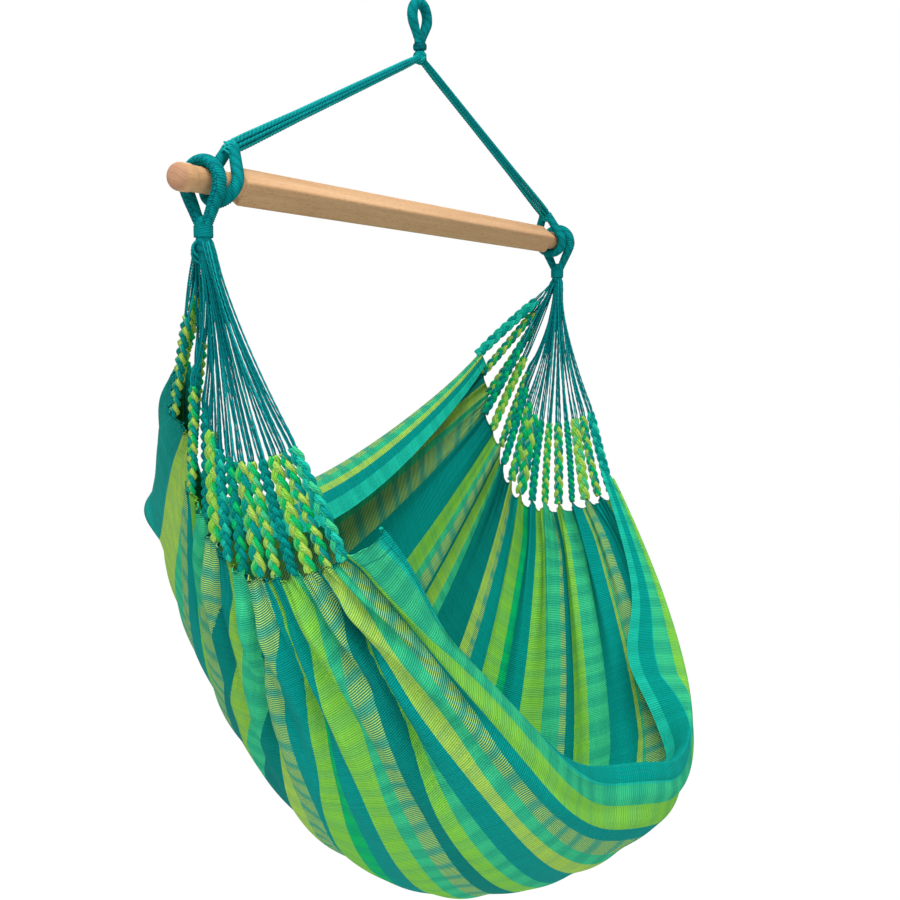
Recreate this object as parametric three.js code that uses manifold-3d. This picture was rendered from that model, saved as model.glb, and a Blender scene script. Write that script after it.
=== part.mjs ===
// Hammock chair: a wooden spreader bar hung from one rope loop, carrying a striped cloth seat
// whose two gathered ends hang from the bar by braids and a fan of cords.
// Lengths are in millimetres. The origin is the inside top of the hanging loop, where a hook
// bears. +X runs along the bar, a sitter's legs leave towards -Y, +Z is up, and left is -X.

import * as THREE from "three";
import { mergeVertices } from "three/addons/utils/BufferGeometryUtils.js";
import Module from "manifold-3d";

const wasm = await Module();
wasm.setup();

const { degToRad, lerp, smoothstep } = THREE.MathUtils;

// Clearances
const seatGap = 0.35; // between two pieces that touch on the real chair
const mergeDistance = 0.001;

// Wooden spreader bar
const barLength = 900;
const barSide = 30;
const barEdgeRadius = 4;
const barEndChamfer = 3;
const barRoll = degToRad(40);
const spigotRadius = 13;
const knobRadius = 14.2;
const knobLength = 24;
const knobRounding = 9;
const knobSlope = 4; // length over which the spigot swells to the knob

// Hanging loop and the knot under it
const loopRopeRadius = 6.75;
const loopRingRadius = 17.5; // middle of the rope, round the hook
const loopLegReach = 9; // from the bottom of the ring down to the foot
const loopLegHalf = 5.2; // half the distance between the legs at the foot
const loopLegShare = 0.76; // of the rope's radius, at the foot
const loopFootHeight = 6;
const bindingRadius = 8.8;
const bindingHeight = 8;
const knotRadius = 8.5;
const apexHeight = 201; // from the bar's axis up to the middle of the knot

// Chair eye: the padded rope eye that carries one end of the seat
const chairEyeInset = 42; // from the bar's tip
const chairRopeAxial = 7.4; // half sizes of the pressed rope
const chairRopeRadial = 6.2;
const chairEyeSlack = 2.5; // how much looser the eye is than the spigot in it
const chairEyeReach = 20; // from the bottom of the ring down to where the legs meet
const chairLegHalf = 4;
const neckRadius = 7.8;
const neckMargin = 4; // bare neck above and below the whipping
const ropeTipShare = 0.6; // of the rope's size, where an eye's two legs meet
const eyeTaperShare = 0.22; // of the rope's length in an eye, over which a leg tapers

// Suspension: an eye round each end of the bar, and four cords from it to the knot
const suspensionEyeLean = degToRad(22);
const suspensionEyeSpacing = 6; // room beside the eye, to the chair eye and to the square part
const suspensionRopeAxial = 6.5;
const suspensionRopeRadial = 5.8;
const suspensionEyeReach = 20;
const suspensionTipRadius = 8;
const suspensionLegHalf = 3.6;
const suspensionCordRadius = 2.6;
const suspensionCordSpacing = 5.7;

// Whipping: a thin cord wound round the neck of the chair eye
const whippingCordRadius = 0.9;
const whippingPitch = 2.3;
const whippingTurns = 4;

// Fan of cords
const fanCoreHeight = 8;
const fanCoreRadius = 8.4;
const fanCoreFlare = 1.6;
const fanCordRadius = 1.25;
const fanCordRows = 4; // cords side by side under the core, along X
const fanRowSpacing = 2.9;
const fanColumnSpacing = 2.3;
const fanSink = 3; // how far a cord starts inside the core
const cordsPerBraid = 2;
const braidCordSpacing = 4.4;

// Braids between the cords and the cloth
const braidCount = 16;
const braidLength = 120;
const braidHalfWidth = 6.1;
const braidHalfThickness = 4.4;
const braidStationShares = [0, 0.08, 0.88, 1]; // of the braid's length
const braidSizeShares = [0.8, 1, 1, 0.3]; // of the braid's size, at those places
const braidFootGap = 0.6;
const braidLayer = 11.5; // how far the rear braids lie beside each other, along X
const layeredBraids = 6;

// Cloth seat
const gatherInset = 63; // from the chair eye to the gathered end, along the bar
const gatherDrop = 410; // from the bar's axis to the lowest point of a gathered end
const gatherReach = 125;
const seatDrop = 872; // from the bar's axis to the lowest point of the seat
const seatReach = 352;
const clothThickness = 2.4;
const backHemThickness = 2.4;
const frontHemThickness = 7.4; // rolled in several layers
const hemGap = 0.8; // between a hem and the rim it borders
const foldDepth = 22; // of a pleat, at the gathered end
const foldFade = 2.4;
const scallopShare = 0.05; // of the half length, by which the edge dips between two braids
const scallopFade = 8;

// The cloth's shape across its stripes, from the back hem to the front hem. Each row gives
// a place across the cloth, then y and z at a gathered end, y and z at the seat's middle,
// how sharply the cloth turns under there, and how tightly its left side is drawn.
const clothShares = [
  [0.0, 0.69, -0.468, 0.6, -0.491, 1.7, 0],
  [0.05, 0.744, -0.434, 0.69, -0.445, 1.7, 0],
  [0.08, 0.784, -0.424, 0.765, -0.435, 1.7, 0],
  [0.15, 0.76, -0.517, 0.93, -0.5, 1.8, 0],
  [0.24, 0.7, -0.639, 0.88, -0.631, 1.9, 0],
  [0.33, 0.6, -0.744, 0.69, -0.771, 2.0, 0],
  [0.42, 0.46, -0.849, 0.44, -0.894, 1.9, 0],
  [0.51, 0.27, -0.941, 0.15, -0.975, 1.8, 0],
  [0.59, 0.04, -0.976, -0.15, -1.0, 1.7, 0],
  [0.67, -0.22, -0.98, -0.46, -0.97, 1.7, 0],
  [0.75, -0.48, -0.966, -0.745, -0.908, 1.8, 0.15],
  [0.83, -0.728, -0.945, -0.952, -0.84, 2.1, 0.55],
  [0.91, -0.96, -0.917, -1.0, -0.78, 2.4, 1],
  [0.94, -1.0, -0.884, -0.96, -0.76, 2.4, 1],
  [1.0, -0.82, -0.84, -0.81, -0.782, 2.4, 0.9],
];
const backRimShare = 0.08; // where the back hem's turned-in border meets the seat
const frontRimShare = 0.91;
const lipShare = 0.35; // of the half length, where a tight rim turns into the front lip
const lipTurn = 6;
const warpTurn = 2.0; // spreads the rows evenly along a hanging stripe
const frameShare = 0.004; // of the cloth, over which its normal is taken

// Mesh detail
const ropeSides = 12;
const eyeSteps = 28;
const cordSides = 6;
const windingSteps = 24; // in one turn
const clothRows = 16; // along the stripes
const hemColumns = 4;
const hemEndShare = 0.4; // of the last row, by which a hem stops short of the gathered end
const hemEndSizeShare = 0.35; // of a hem's thickness, at the gathered end
const hemThinning = 5;

// Places worked out from the sizes above
const hookSeatZ = 0;
const loopRingZ = hookSeatZ - (loopRingRadius - loopRopeRadius);
const loopReach = loopRingRadius + loopLegReach;
const loopFootZ = loopRingZ - loopReach - loopFootHeight;
const knotZ = loopFootZ - seatGap - bindingHeight - seatGap - knotRadius;
const barZ = knotZ - apexHeight;
const chairEyeX = barLength / 2 - chairEyeInset;
const chairRingRadius = spigotRadius + seatGap + chairEyeSlack + chairRopeRadial;
const neckTop = chairEyeSlack + chairRingRadius + chairEyeReach - neckMargin;
const whippingTop = neckTop + neckMargin + whippingCordRadius;
const whippingDrop = whippingTurns * whippingPitch;
const neckBottom = whippingTop + whippingDrop + whippingCordRadius + neckMargin;
const suspensionRopeHalf = Math.hypot(
  suspensionRopeRadial * Math.cos(suspensionEyeLean),
  suspensionRopeAxial * Math.sin(suspensionEyeLean),
);
const suspensionRingRadius =
  (spigotRadius + seatGap + suspensionRopeHalf) / Math.cos(suspensionEyeLean);
const suspensionReach = suspensionRingRadius + suspensionEyeReach;
const suspensionEyeHalf =
  suspensionRingRadius * Math.sin(suspensionEyeLean) + suspensionRopeAxial;
const suspensionEyeX =
  chairEyeX - chairRopeAxial - suspensionEyeSpacing - suspensionEyeHalf;
const squareHalf = suspensionEyeX - suspensionEyeHalf - suspensionEyeSpacing;
const gatherHalfSpan = chairEyeX - gatherInset;
const sides = { left: -1, right: 1 };

const cordColour = 0x008080;
const deepCordColour = 0x0b6f72;
const palette = [0x12908c, 0x8cc83c, 0x3fbf8f, 0xc8d24a, 0x1f9f6a];
const cordFinish = { roughness: 0.85, metalness: 0 };
const clothFinish = { roughness: 0.9, metalness: 0 };
const woodFinish = { roughness: 0.55, metalness: 0 };

const chair = new THREE.Group();

// Adds one named piece to the chair.
function addPiece(name, geometry, colour, finish, parent = chair) {
  geometry.computeVertexNormals();
  const material = new THREE.MeshStandardMaterial({ color: colour, ...finish });
  const mesh = new THREE.Mesh(geometry, material);
  mesh.name = name;
  parent.add(mesh);
  return mesh;
}

// A closed geometry as a solid that can be joined or cut.
function solidOf(geometry) {
  const bare = geometry.clone();
  bare.deleteAttribute("normal");
  bare.deleteAttribute("uv");
  const merged = mergeVertices(bare, mergeDistance);
  return new wasm.Manifold(
    new wasm.Mesh({
      numProp: 3,
      vertProperties: merged.getAttribute("position").array,
      triVerts: new Uint32Array(merged.index.array),
    }),
  );
}

function geometryOf(solid) {
  const mesh = solid.getMesh();
  const geometry = new THREE.BufferGeometry();
  geometry.setAttribute("position", new THREE.BufferAttribute(mesh.vertProperties, 3));
  geometry.setIndex(new THREE.BufferAttribute(mesh.triVerts, 1));
  return geometry;
}

// Joins closed geometries into one.
function join(geometries) {
  return geometryOf(geometries.map(solidOf).reduce((whole, piece) => whole.add(piece)));
}

function geometryFrom(positions, faces) {
  const geometry = new THREE.BufferGeometry();
  geometry.setAttribute("position", new THREE.Float32BufferAttribute(positions, 3));
  geometry.setIndex(faces);
  return geometry;
}

// A closed tube: a cylinder bent along a path. halves gives the section's two half sizes at a
// station of the path, the first of them in the direction across.
function tube(path, stations, sideCount, halves, across) {
  const steps = stations.length - 1;
  const geometry = new THREE.CylinderGeometry(1, 1, 1, sideCount, steps);
  const position = geometry.getAttribute("position");
  const vertex = new THREE.Vector3();
  for (let index = 0; index < position.count; index += 1) {
    vertex.fromBufferAttribute(position, index);
    const station = Math.round((0.5 - vertex.y) * steps);
    const along = path.getTangentAt(stations[station]);
    const first = across(stations[station]);
    first.addScaledVector(along, -first.dot(along)).normalize();
    const second = along.clone().cross(first);
    const [firstHalf, secondHalf] = halves(station);
    const point = path.getPointAt(stations[station]);
    point.addScaledVector(first, firstHalf * vertex.x);
    point.addScaledVector(second, secondHalf * vertex.z);
    position.setXYZ(index, point.x, point.y, point.z);
  }
  return geometry;
}

// A round cord of one thickness along a path.
function cord(path, radius, sideCount, steps = 1) {
  const corners = Array.from({ length: sideCount }, (_, corner) => {
    const angle = (2 * Math.PI * corner) / sideCount;
    return new THREE.Vector2(radius * Math.cos(angle), radius * Math.sin(angle));
  });
  return new THREE.ExtrudeGeometry(new THREE.Shape(corners), { steps, extrudePath: path });
}

function evenStations(steps) {
  return Array.from({ length: steps + 1 }, (_, step) => step / steps);
}

// The path of a rope eye in the YZ plane: up one leg, round the ring and down the other.
// The ring is centred on the origin and the legs meet at a distance of reach along +Z.
class EyePath extends THREE.Curve {
  constructor(ringRadius, reach, legHalf) {
    super();
    this.ringRadius = ringRadius;
    this.tip = new THREE.Vector2(legHalf, reach);
    const tipAngle = Math.atan2(legHalf, reach);
    this.touchAngle = tipAngle + Math.acos(ringRadius / this.tip.length());
    this.legLength = Math.sqrt(this.tip.lengthSq() - ringRadius ** 2);
    this.arcLength = 2 * (Math.PI - this.touchAngle) * ringRadius;
    this.whole = 2 * this.legLength + this.arcLength;
  }

  getPoint(t, target = new THREE.Vector3()) {
    const run = t * this.whole;
    const back = this.whole - run;
    const touch = new THREE.Vector2(
      this.ringRadius * Math.sin(this.touchAngle),
      this.ringRadius * Math.cos(this.touchAngle),
    );
    if (Math.min(run, back) < this.legLength) {
      const side = run < back ? 1 : -1;
      const point = this.tip.clone().lerp(touch, Math.min(run, back) / this.legLength);
      return target.set(0, side * point.x, point.y);
    }
    const angle = this.touchAngle + (run - this.legLength) / this.ringRadius;
    return target.set(0, this.ringRadius * Math.sin(angle), this.ringRadius * Math.cos(angle));
  }
}

// A thin cord wound round the Z axis, with a straight lead of one diameter at each end.
class WindingPath extends THREE.Curve {
  constructor(radius, pitch, turns, lead) {
    super();
    this.radius = radius;
    this.rise = pitch / (2 * Math.PI);
    this.sweep = 2 * Math.PI * turns;
    this.turnLength = Math.hypot(radius, this.rise) * this.sweep;
    this.lead = lead;
    this.whole = this.turnLength + 2 * lead;
  }

  getPoint(t, target = new THREE.Vector3()) {
    const run = THREE.MathUtils.clamp(t * this.whole - this.lead, 0, this.turnLength);
    const beyond = t * this.whole - this.lead - run;
    const angle = (run / this.turnLength) * this.sweep;
    const along = new THREE.Vector3(
      -this.radius * Math.sin(angle),
      this.radius * Math.cos(angle),
      -this.rise,
    ).normalize();
    target.set(this.radius * Math.cos(angle), this.radius * Math.sin(angle), -this.rise * angle);
    return target.addScaledVector(along, beyond);
  }
}

const alongX = () => new THREE.Vector3(1, 0, 0);

// A rope bent into an eye, drawn in towards the tips of its two legs.
function eyeRope(path, axial, radial, tipShare) {
  const stations = evenStations(eyeSteps);
  const halves = (station) => {
    const fromTip = Math.min(station, eyeSteps - station) / eyeSteps;
    const share = lerp(tipShare, 1, smoothstep(fromTip, 0, eyeTaperShare));
    return [axial * share, radial * share];
  };
  return tube(path, stations, ropeSides, halves, alongX);
}

function spreaderBar() {
  const half = barSide / 2;
  const corner = half - barEdgeRadius;
  const section = new THREE.Shape();
  section.absarc(corner, corner, barEdgeRadius, 0, Math.PI / 2);
  section.absarc(-corner, corner, barEdgeRadius, Math.PI / 2, Math.PI);
  section.absarc(-corner, -corner, barEdgeRadius, Math.PI, 1.5 * Math.PI);
  section.absarc(corner, -corner, barEdgeRadius, 1.5 * Math.PI, 2 * Math.PI);
  const square = new THREE.ExtrudeGeometry(section, {
    depth: 2 * (squareHalf - barEndChamfer),
    bevelThickness: barEndChamfer,
    bevelSize: barEndChamfer,
    bevelOffset: -barEndChamfer,
    bevelSegments: 1,
    curveSegments: 4,
  });
  square.translate(0, 0, barEndChamfer - squareHalf);
  square.rotateY(Math.PI / 2);
  square.rotateX(barRoll);

  const tip = barLength / 2;
  const knobStart = tip - knobLength;
  const outline = [
    new THREE.Vector2(0, squareHalf - spigotRadius),
    new THREE.Vector2(spigotRadius, squareHalf - spigotRadius),
    new THREE.Vector2(spigotRadius, knobStart),
    new THREE.Vector2(knobRadius, knobStart + knobSlope),
  ];
  const roundingSteps = 4;
  for (let step = 0; step <= roundingSteps; step += 1) {
    const angle = (Math.PI / 2) * (step / roundingSteps);
    outline.push(
      new THREE.Vector2(
        knobRadius - knobRounding * (1 - Math.cos(angle)),
        tip - knobRounding * (1 - Math.sin(angle)),
      ),
    );
  }
  outline.push(new THREE.Vector2(0, tip));
  const spigots = Object.values(sides).map((side) =>
    new THREE.LatheGeometry(outline, 24).rotateZ((-side * Math.PI) / 2),
  );
  return join([square, ...spigots]);
}

function hangingLoop() {
  const path = new EyePath(loopRingRadius, loopReach, loopLegHalf);
  const rope = eyeRope(path, loopRopeRadius, loopRopeRadius, loopLegShare);
  rope.rotateZ(Math.PI / 2);
  rope.rotateX(Math.PI);
  rope.translate(0, 0, loopRingZ);
  const legRadius = loopRopeRadius * loopLegShare;
  const footShape = new THREE.Shape();
  footShape.absellipse(0, 0, loopLegHalf + legRadius, legRadius, 0, 2 * Math.PI);
  const foot = new THREE.ExtrudeGeometry(footShape, {
    depth: 2 * loopFootHeight,
    bevelEnabled: false,
    curveSegments: 8,
  });
  foot.translate(0, 0, loopFootZ);
  return join([rope, foot]);
}

// The wrapped collar under the loop's foot.
function loopBinding() {
  const rounding = bindingHeight / 4;
  const outline = [
    new THREE.Vector2(0, 0),
    new THREE.Vector2(bindingRadius - rounding, 0),
    new THREE.Vector2(bindingRadius, rounding),
    new THREE.Vector2(bindingRadius, bindingHeight - rounding),
    new THREE.Vector2(bindingRadius - rounding, bindingHeight),
    new THREE.Vector2(0, bindingHeight),
  ];
  const collar = new THREE.LatheGeometry(outline, 16);
  return collar.rotateX(Math.PI / 2).translate(0, 0, knotZ + knotRadius + seatGap);
}

// The eye round the bar's spigot, leaning towards the middle, with the lump that ends it.
function suspensionEye(side) {
  const path = new EyePath(suspensionRingRadius, suspensionReach, suspensionLegHalf);
  const rope = eyeRope(path, suspensionRopeAxial, suspensionRopeRadial, ropeTipShare);
  rope.rotateY(-side * suspensionEyeLean);
  const lump = new THREE.SphereGeometry(suspensionTipRadius, 12, 8);
  lump.translate(...suspensionTip(side).toArray());
  return join([rope, lump]);
}

// The middle of the eye's lump, from the bar's axis at the eye.
function suspensionTip(side) {
  const lean = suspensionEyeLean;
  const inward = -side * suspensionReach * Math.sin(lean);
  return new THREE.Vector3(inward, 0, suspensionReach * Math.cos(lean));
}

// The four cords of one side, each straight from the eye's lump to the knot.
function suspensionCords(side) {
  const start = suspensionTip(side).add(new THREE.Vector3(side * suspensionEyeX, 0, barZ));
  const end = new THREE.Vector3(0, 0, knotZ);
  const along = end.clone().sub(start).normalize();
  const level = new THREE.Vector3(0, 1, 0);
  const upward = level.clone().cross(along);
  start.addScaledVector(along, suspensionTipRadius + seatGap);
  end.addScaledVector(along, -(knotRadius + seatGap));
  const places = [-0.5, 0.5].flatMap((row) => [-0.5, 0.5].map((column) => [row, column]));
  return places.map(([row, column]) => {
    const shift = level.clone().multiplyScalar(column * suspensionCordSpacing);
    shift.addScaledVector(upward, row * suspensionCordSpacing);
    const path = new THREE.LineCurve3(start.clone().add(shift), end.clone().add(shift));
    return cord(path, suspensionCordRadius, 8);
  });
}

function chairEye() {
  const reach = chairRingRadius + chairEyeReach;
  const path = new EyePath(chairRingRadius, reach, chairLegHalf);
  const rope = eyeRope(path, chairRopeAxial, chairRopeRadial, ropeTipShare);
  rope.rotateX(Math.PI).translate(0, 0, -chairEyeSlack);
  const neck = new THREE.CylinderGeometry(neckRadius, neckRadius, neckBottom - neckTop, 16);
  neck.rotateX(Math.PI / 2).translate(0, 0, -(neckTop + neckBottom) / 2);
  return join([rope, neck]);
}

// The least distance between the surfaces of two turns of a winding.
function leastGapToItself(path, radius, steps) {
  const points = path.getSpacedPoints(steps);
  const apart = Math.ceil((steps / path.getLength()) * Math.PI * 2 * radius);
  let least = Infinity;
  points.forEach((point, index) => {
    points.slice(index + apart).forEach((other) => {
      least = Math.min(least, point.distanceTo(other) - 2 * radius);
    });
  });
  return least;
}

function whipping() {
  const coilRadius = neckRadius + seatGap + whippingCordRadius;
  const path = new WindingPath(coilRadius, whippingPitch, whippingTurns, 2 * whippingCordRadius);
  const steps = windingSteps * whippingTurns;
  const least = leastGapToItself(path, whippingCordRadius, steps);
  console.log("whipping: least gap to itself " + least.toFixed(2) + " mm");
  const winding = cord(path, whippingCordRadius, cordSides, steps);
  return winding.translate(0, 0, -whippingTop);
}

// The cloth's own numbers at a place across it, from the table of shares.
function clothRowAt(across) {
  const sizes = [gatherReach, gatherDrop, seatReach, seatDrop, 1, 1];
  const rows = clothShares;
  const value = (index, column) => rows[index][column + 1] * sizes[column];
  const slope = (index, column) => {
    const before = Math.max(index - 1, 0);
    const after = Math.min(index + 1, rows.length - 1);
    const rise = value(after, column) - value(before, column);
    return rise / (rows[after][0] - rows[before][0]);
  };
  let index = 0;
  while (index < rows.length - 2 && across > rows[index + 1][0]) index += 1;
  const span = rows[index + 1][0] - rows[index][0];
  const t = (across - rows[index][0]) / span;
  const ease = t * t * (3 - 2 * t);
  const leave = t * (1 - t) ** 2;
  const arrive = t * t * (t - 1);
  return sizes.map(
    (_, column) =>
      lerp(value(index, column), value(index + 1, column), ease) +
      span * (leave * slope(index, column) + arrive * slope(index + 1, column)),
  );
}

// How far down a drawn rim has come at a place: straight to a soft corner, then level.
function tightHang(place) {
  const held = (s) => {
    const straight = (1 - s) / (1 - lipShare);
    return straight - Math.log1p(Math.exp(lipTurn * (straight - 1))) / lipTurn;
  };
  return (held(Math.abs(place)) - held(1)) / (held(0) - held(1));
}

// A point of the smooth cloth. along runs from -1 at the left gathered end to 1 at the right.
function smoothClothPoint(along, across) {
  const [gatherY, gatherZ, middleY, middleZ, turn, tight] = clothRowAt(across);
  const place = Math.asinh(along * Math.sinh(warpTurn)) / warpTurn;
  const loose = (Math.cosh(turn) - Math.cosh(turn * place)) / (Math.cosh(turn) - 1);
  const hang = place < 0 ? lerp(loose, tightHang(place), tight) : loose;
  return new THREE.Vector3(
    place * gatherHalfSpan,
    lerp(gatherY, middleY, hang),
    barZ + lerp(gatherZ, middleZ, hang),
  );
}

// The smooth cloth's outward normal, and its direction square to the stripes.
function clothFrame(along, across) {
  const sample = (da, dc) => smoothClothPoint(along + da * frameShare, across + dc * frameShare);
  const warp = sample(1, 0).sub(sample(-1, 0)).normalize();
  const weft = sample(0, 1).sub(sample(0, -1)).normalize();
  const outward = warp.clone().cross(weft).normalize();
  return { outward, crossways: outward.clone().cross(warp) };
}

// How far along X a braid lies out of the plane of its fan.
function braidOffset(index) {
  return index < layeredBraids ? braidLayer * ((index % 3) - 1) : 0;
}

// A place across the cloth, counted in braids from the back rim.
function braidCoordinate(across) {
  return ((across - backRimShare) / (frontRimShare - backRimShare)) * (braidCount - 1);
}

function braidAcross(index) {
  return lerp(backRimShare, frontRimShare, index / (braidCount - 1));
}

// A point of the pleated cloth, moved by lift along its outward normal. Each pleat stands
// out between two braids, less so beside a rim, and the gathered edge dips there.
function clothPoint(along, across, lift) {
  const coordinate = THREE.MathUtils.clamp(braidCoordinate(across), 0, braidCount - 1);
  const between = 1 - Math.abs(1 - 2 * (coordinate - Math.floor(coordinate)));
  const nearest = THREE.MathUtils.euclideanModulo(Math.floor(coordinate), braidCount);
  const next = Math.min(nearest + 1, braidCount - 1);
  const layer = lerp(braidOffset(nearest), braidOffset(next), coordinate - nearest);
  const edge = Math.abs(along);
  const dipped = along * (1 - scallopShare * between * edge ** scallopFade);
  const { outward } = clothFrame(dipped, across);
  const point = smoothClothPoint(dipped, across);
  const fromRim = Math.min(coordinate, braidCount - 1 - coordinate, 1);
  point.addScaledVector(outward, foldDepth * between * fromRim * edge ** foldFade + lift);
  point.x += Math.sign(along) * layer * edge ** scallopFade;
  return point;
}

// A closed thin shell over a grid of the cloth, which columns lists across the stripes.
// endShare draws its two end rows back by a share of a row, and endSize is its thickness
// there, as a share. Its column at the rim is drawn back by a gap, in the direction away.
function clothShell(columns, thickness, endShare = 0, endSize = 1, rim = -1, away = 0) {
  const alongs = evenStations(clothRows).map((t) => 2 * t - 1);
  const last = alongs.length - 1;
  const place = (across, row, lift) => {
    const size = lerp(1, endSize, Math.abs(alongs[row]) ** hemThinning);
    const point = clothPoint(alongs[row], across, lift * size);
    const { crossways } = clothFrame(alongs[row], across);
    return across === rim ? point.addScaledVector(crossways, away * hemGap) : point;
  };
  const grid = (lift) =>
    columns.flatMap((across) =>
      alongs.map((_, row) => {
        const point = place(across, row, lift);
        if (row === 0) point.lerp(place(across, 1, lift), endShare);
        if (row === last) point.lerp(place(across, last - 1, lift), endShare);
        return point;
      }),
    );
  const points = [...grid(-thickness / 2), ...grid(thickness / 2)];
  const rowCount = alongs.length;
  const layerSize = columns.length * rowCount;
  const faces = [];
  const quad = (a, b, c, d) => faces.push(a, b, c, a, c, d);
  for (let column = 0; column < columns.length - 1; column += 1) {
    for (let row = 0; row < last; row += 1) {
      const a = column * rowCount + row;
      const b = a + rowCount;
      quad(a, b, b + 1, a + 1);
      quad(layerSize + a, layerSize + a + 1, layerSize + b + 1, layerSize + b);
    }
  }
  const border = [];
  for (let row = 0; row < last; row += 1) border.push(row);
  for (let column = 0; column < columns.length - 1; column += 1) {
    border.push(column * rowCount + last);
  }
  for (let row = last; row > 0; row -= 1) border.push(layerSize - rowCount + row);
  for (let column = columns.length - 1; column > 0; column -= 1) border.push(column * rowCount);
  border.forEach((point, index) => {
    const next = border[(index + 1) % border.length];
    quad(point, next, next + layerSize, point + layerSize);
  });
  return geometryFrom(points.flatMap((point) => point.toArray()), faces);
}

function seatCloth() {
  const columns = evenStations(2 * (braidCount - 1));
  return clothShell(columns.map((t) => lerp(backRimShare, frontRimShare, t)), clothThickness);
}

// A hem's turned-in border, from the seat's rim to the free edge.
function hem(rim, edge, thickness) {
  const away = Math.sign(edge - rim);
  const columns = evenStations(hemColumns).map((t) => lerp(rim, edge, t));
  const ordered = away > 0 ? columns : columns.reverse();
  return clothShell(ordered, thickness, hemEndShare, hemEndSizeShare, rim, away);
}

// Where the fan's cords spread from, under the chair eye.
function fanOrigin(side) {
  return new THREE.Vector3(side * chairEyeX, 0, barZ - neckBottom - seatGap - fanCoreHeight);
}

// The two ends of a braid, in line with the middle of the fan.
function braidEnds(side, index) {
  const foot = clothPoint(side, braidAcross(index), 0);
  const origin = fanOrigin(side);
  origin.x += side * braidOffset(index);
  const along = origin.clone().sub(foot).normalize();
  foot.addScaledVector(along, braidFootGap);
  return { foot, top: foot.clone().addScaledVector(along, braidLength), along };
}

function braid(side, index) {
  const { foot, top } = braidEnds(side, index);
  const halves = (station) => {
    const size = braidSizeShares[station];
    return [braidHalfThickness * size, braidHalfWidth * size];
  };
  return tube(new THREE.LineCurve3(top, foot), braidStationShares, 8, halves, alongX);
}

// One side's cords, all from one core, two to each braid.
function cordFan(side) {
  const origin = fanOrigin(side);
  const flared = fanCoreRadius + fanCoreFlare;
  const core = new THREE.CylinderGeometry(fanCoreRadius, flared, fanCoreHeight, 16);
  core.rotateX(Math.PI / 2).translate(origin.x, origin.y, origin.z + fanCoreHeight / 2);
  const cordCount = braidCount * cordsPerBraid;
  const columnCount = cordCount / fanCordRows;
  const cords = Array.from({ length: cordCount }, (_, index) => {
    const column = Math.floor(index / fanCordRows);
    const row = index % fanCordRows;
    const start = origin.clone();
    start.x += side * (row - (fanCordRows - 1) / 2) * fanRowSpacing;
    start.y -= (column - (columnCount - 1) / 2) * fanColumnSpacing;
    start.z += fanSink;
    const { top, along } = braidEnds(side, Math.floor(index / cordsPerBraid));
    const beside = along.clone().cross(alongX()).normalize();
    const place = (index % cordsPerBraid) - (cordsPerBraid - 1) / 2;
    const end = top.clone().addScaledVector(along, seatGap);
    end.addScaledVector(beside, place * braidCordSpacing);
    return cord(new THREE.LineCurve3(start, end), fanCordRadius, cordSides);
  });
  return join([core, ...cords]);
}

function twoDigits(number) {
  return String(number).padStart(2, "0");
}

addPiece("hanging_loop", hangingLoop(), cordColour, cordFinish);
addPiece("loop_binding", loopBinding(), deepCordColour, cordFinish);
addPiece("apex_knot", new THREE.SphereGeometry(knotRadius, 16, 10), cordColour, cordFinish)
  .position.set(0, 0, knotZ);
addPiece("spreader_bar", spreaderBar(), 0xe0b48c, woodFinish).position.set(0, 0, barZ);

for (const [name, side] of Object.entries(sides)) {
  suspensionCords(side).forEach((geometry, index) => {
    addPiece("suspension_cord_" + name + "_" + (index + 1), geometry, cordColour, cordFinish);
  });
  addPiece("suspension_eye_" + name, suspensionEye(side), deepCordColour, cordFinish)
    .position.set(side * suspensionEyeX, 0, barZ);
  const chairEnd = new THREE.Group();
  chairEnd.position.set(side * chairEyeX, 0, barZ);
  chair.add(chairEnd);
  addPiece("chair_eye_" + name, chairEye(), cordColour, cordFinish, chairEnd);
  addPiece("eye_whipping_" + name, whipping(), deepCordColour, cordFinish, chairEnd);
  addPiece("cord_fan_" + name, cordFan(side), cordColour, cordFinish);
  for (let index = 0; index < braidCount; index += 1) {
    const colour = palette[index % palette.length];
    const title = "braid_" + name + "_" + twoDigits(index + 1);
    addPiece(title, braid(side, index), colour, cordFinish);
  }
}

addPiece("seat_cloth", seatCloth(), 0x3fb88c, clothFinish);
addPiece("back_hem", hem(backRimShare, 0, backHemThickness), 0x2fb8a4, clothFinish);
addPiece("front_hem", hem(frontRimShare, 1, frontHemThickness), 0x2fb8a4, clothFinish);

export default chair;
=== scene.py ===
"""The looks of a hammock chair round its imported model. Shapes are worked out in mm, and the
camera, the weave, the floor and the lamps are in metres. The origin is the inside top of the
hanging loop; +X runs along the bar, a sitter's legs leave towards -Y, and left is -X."""

import math

import bpy
import numpy as np
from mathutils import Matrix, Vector


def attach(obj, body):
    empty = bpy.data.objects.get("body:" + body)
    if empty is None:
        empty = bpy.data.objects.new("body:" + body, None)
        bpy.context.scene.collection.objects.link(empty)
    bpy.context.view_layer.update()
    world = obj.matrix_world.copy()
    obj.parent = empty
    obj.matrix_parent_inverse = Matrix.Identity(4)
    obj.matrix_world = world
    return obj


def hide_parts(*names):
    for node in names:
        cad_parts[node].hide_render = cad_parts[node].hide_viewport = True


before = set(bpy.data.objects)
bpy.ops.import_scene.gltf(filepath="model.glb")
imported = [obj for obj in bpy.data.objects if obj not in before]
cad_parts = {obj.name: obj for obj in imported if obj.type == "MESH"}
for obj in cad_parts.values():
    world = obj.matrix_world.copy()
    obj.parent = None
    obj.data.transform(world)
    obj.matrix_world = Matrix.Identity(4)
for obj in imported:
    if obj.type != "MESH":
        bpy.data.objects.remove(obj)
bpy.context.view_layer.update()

MM = 0.001
SIDES = {"left": -1, "right": 1}
FULL_TURN = 2 * math.pi

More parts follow.
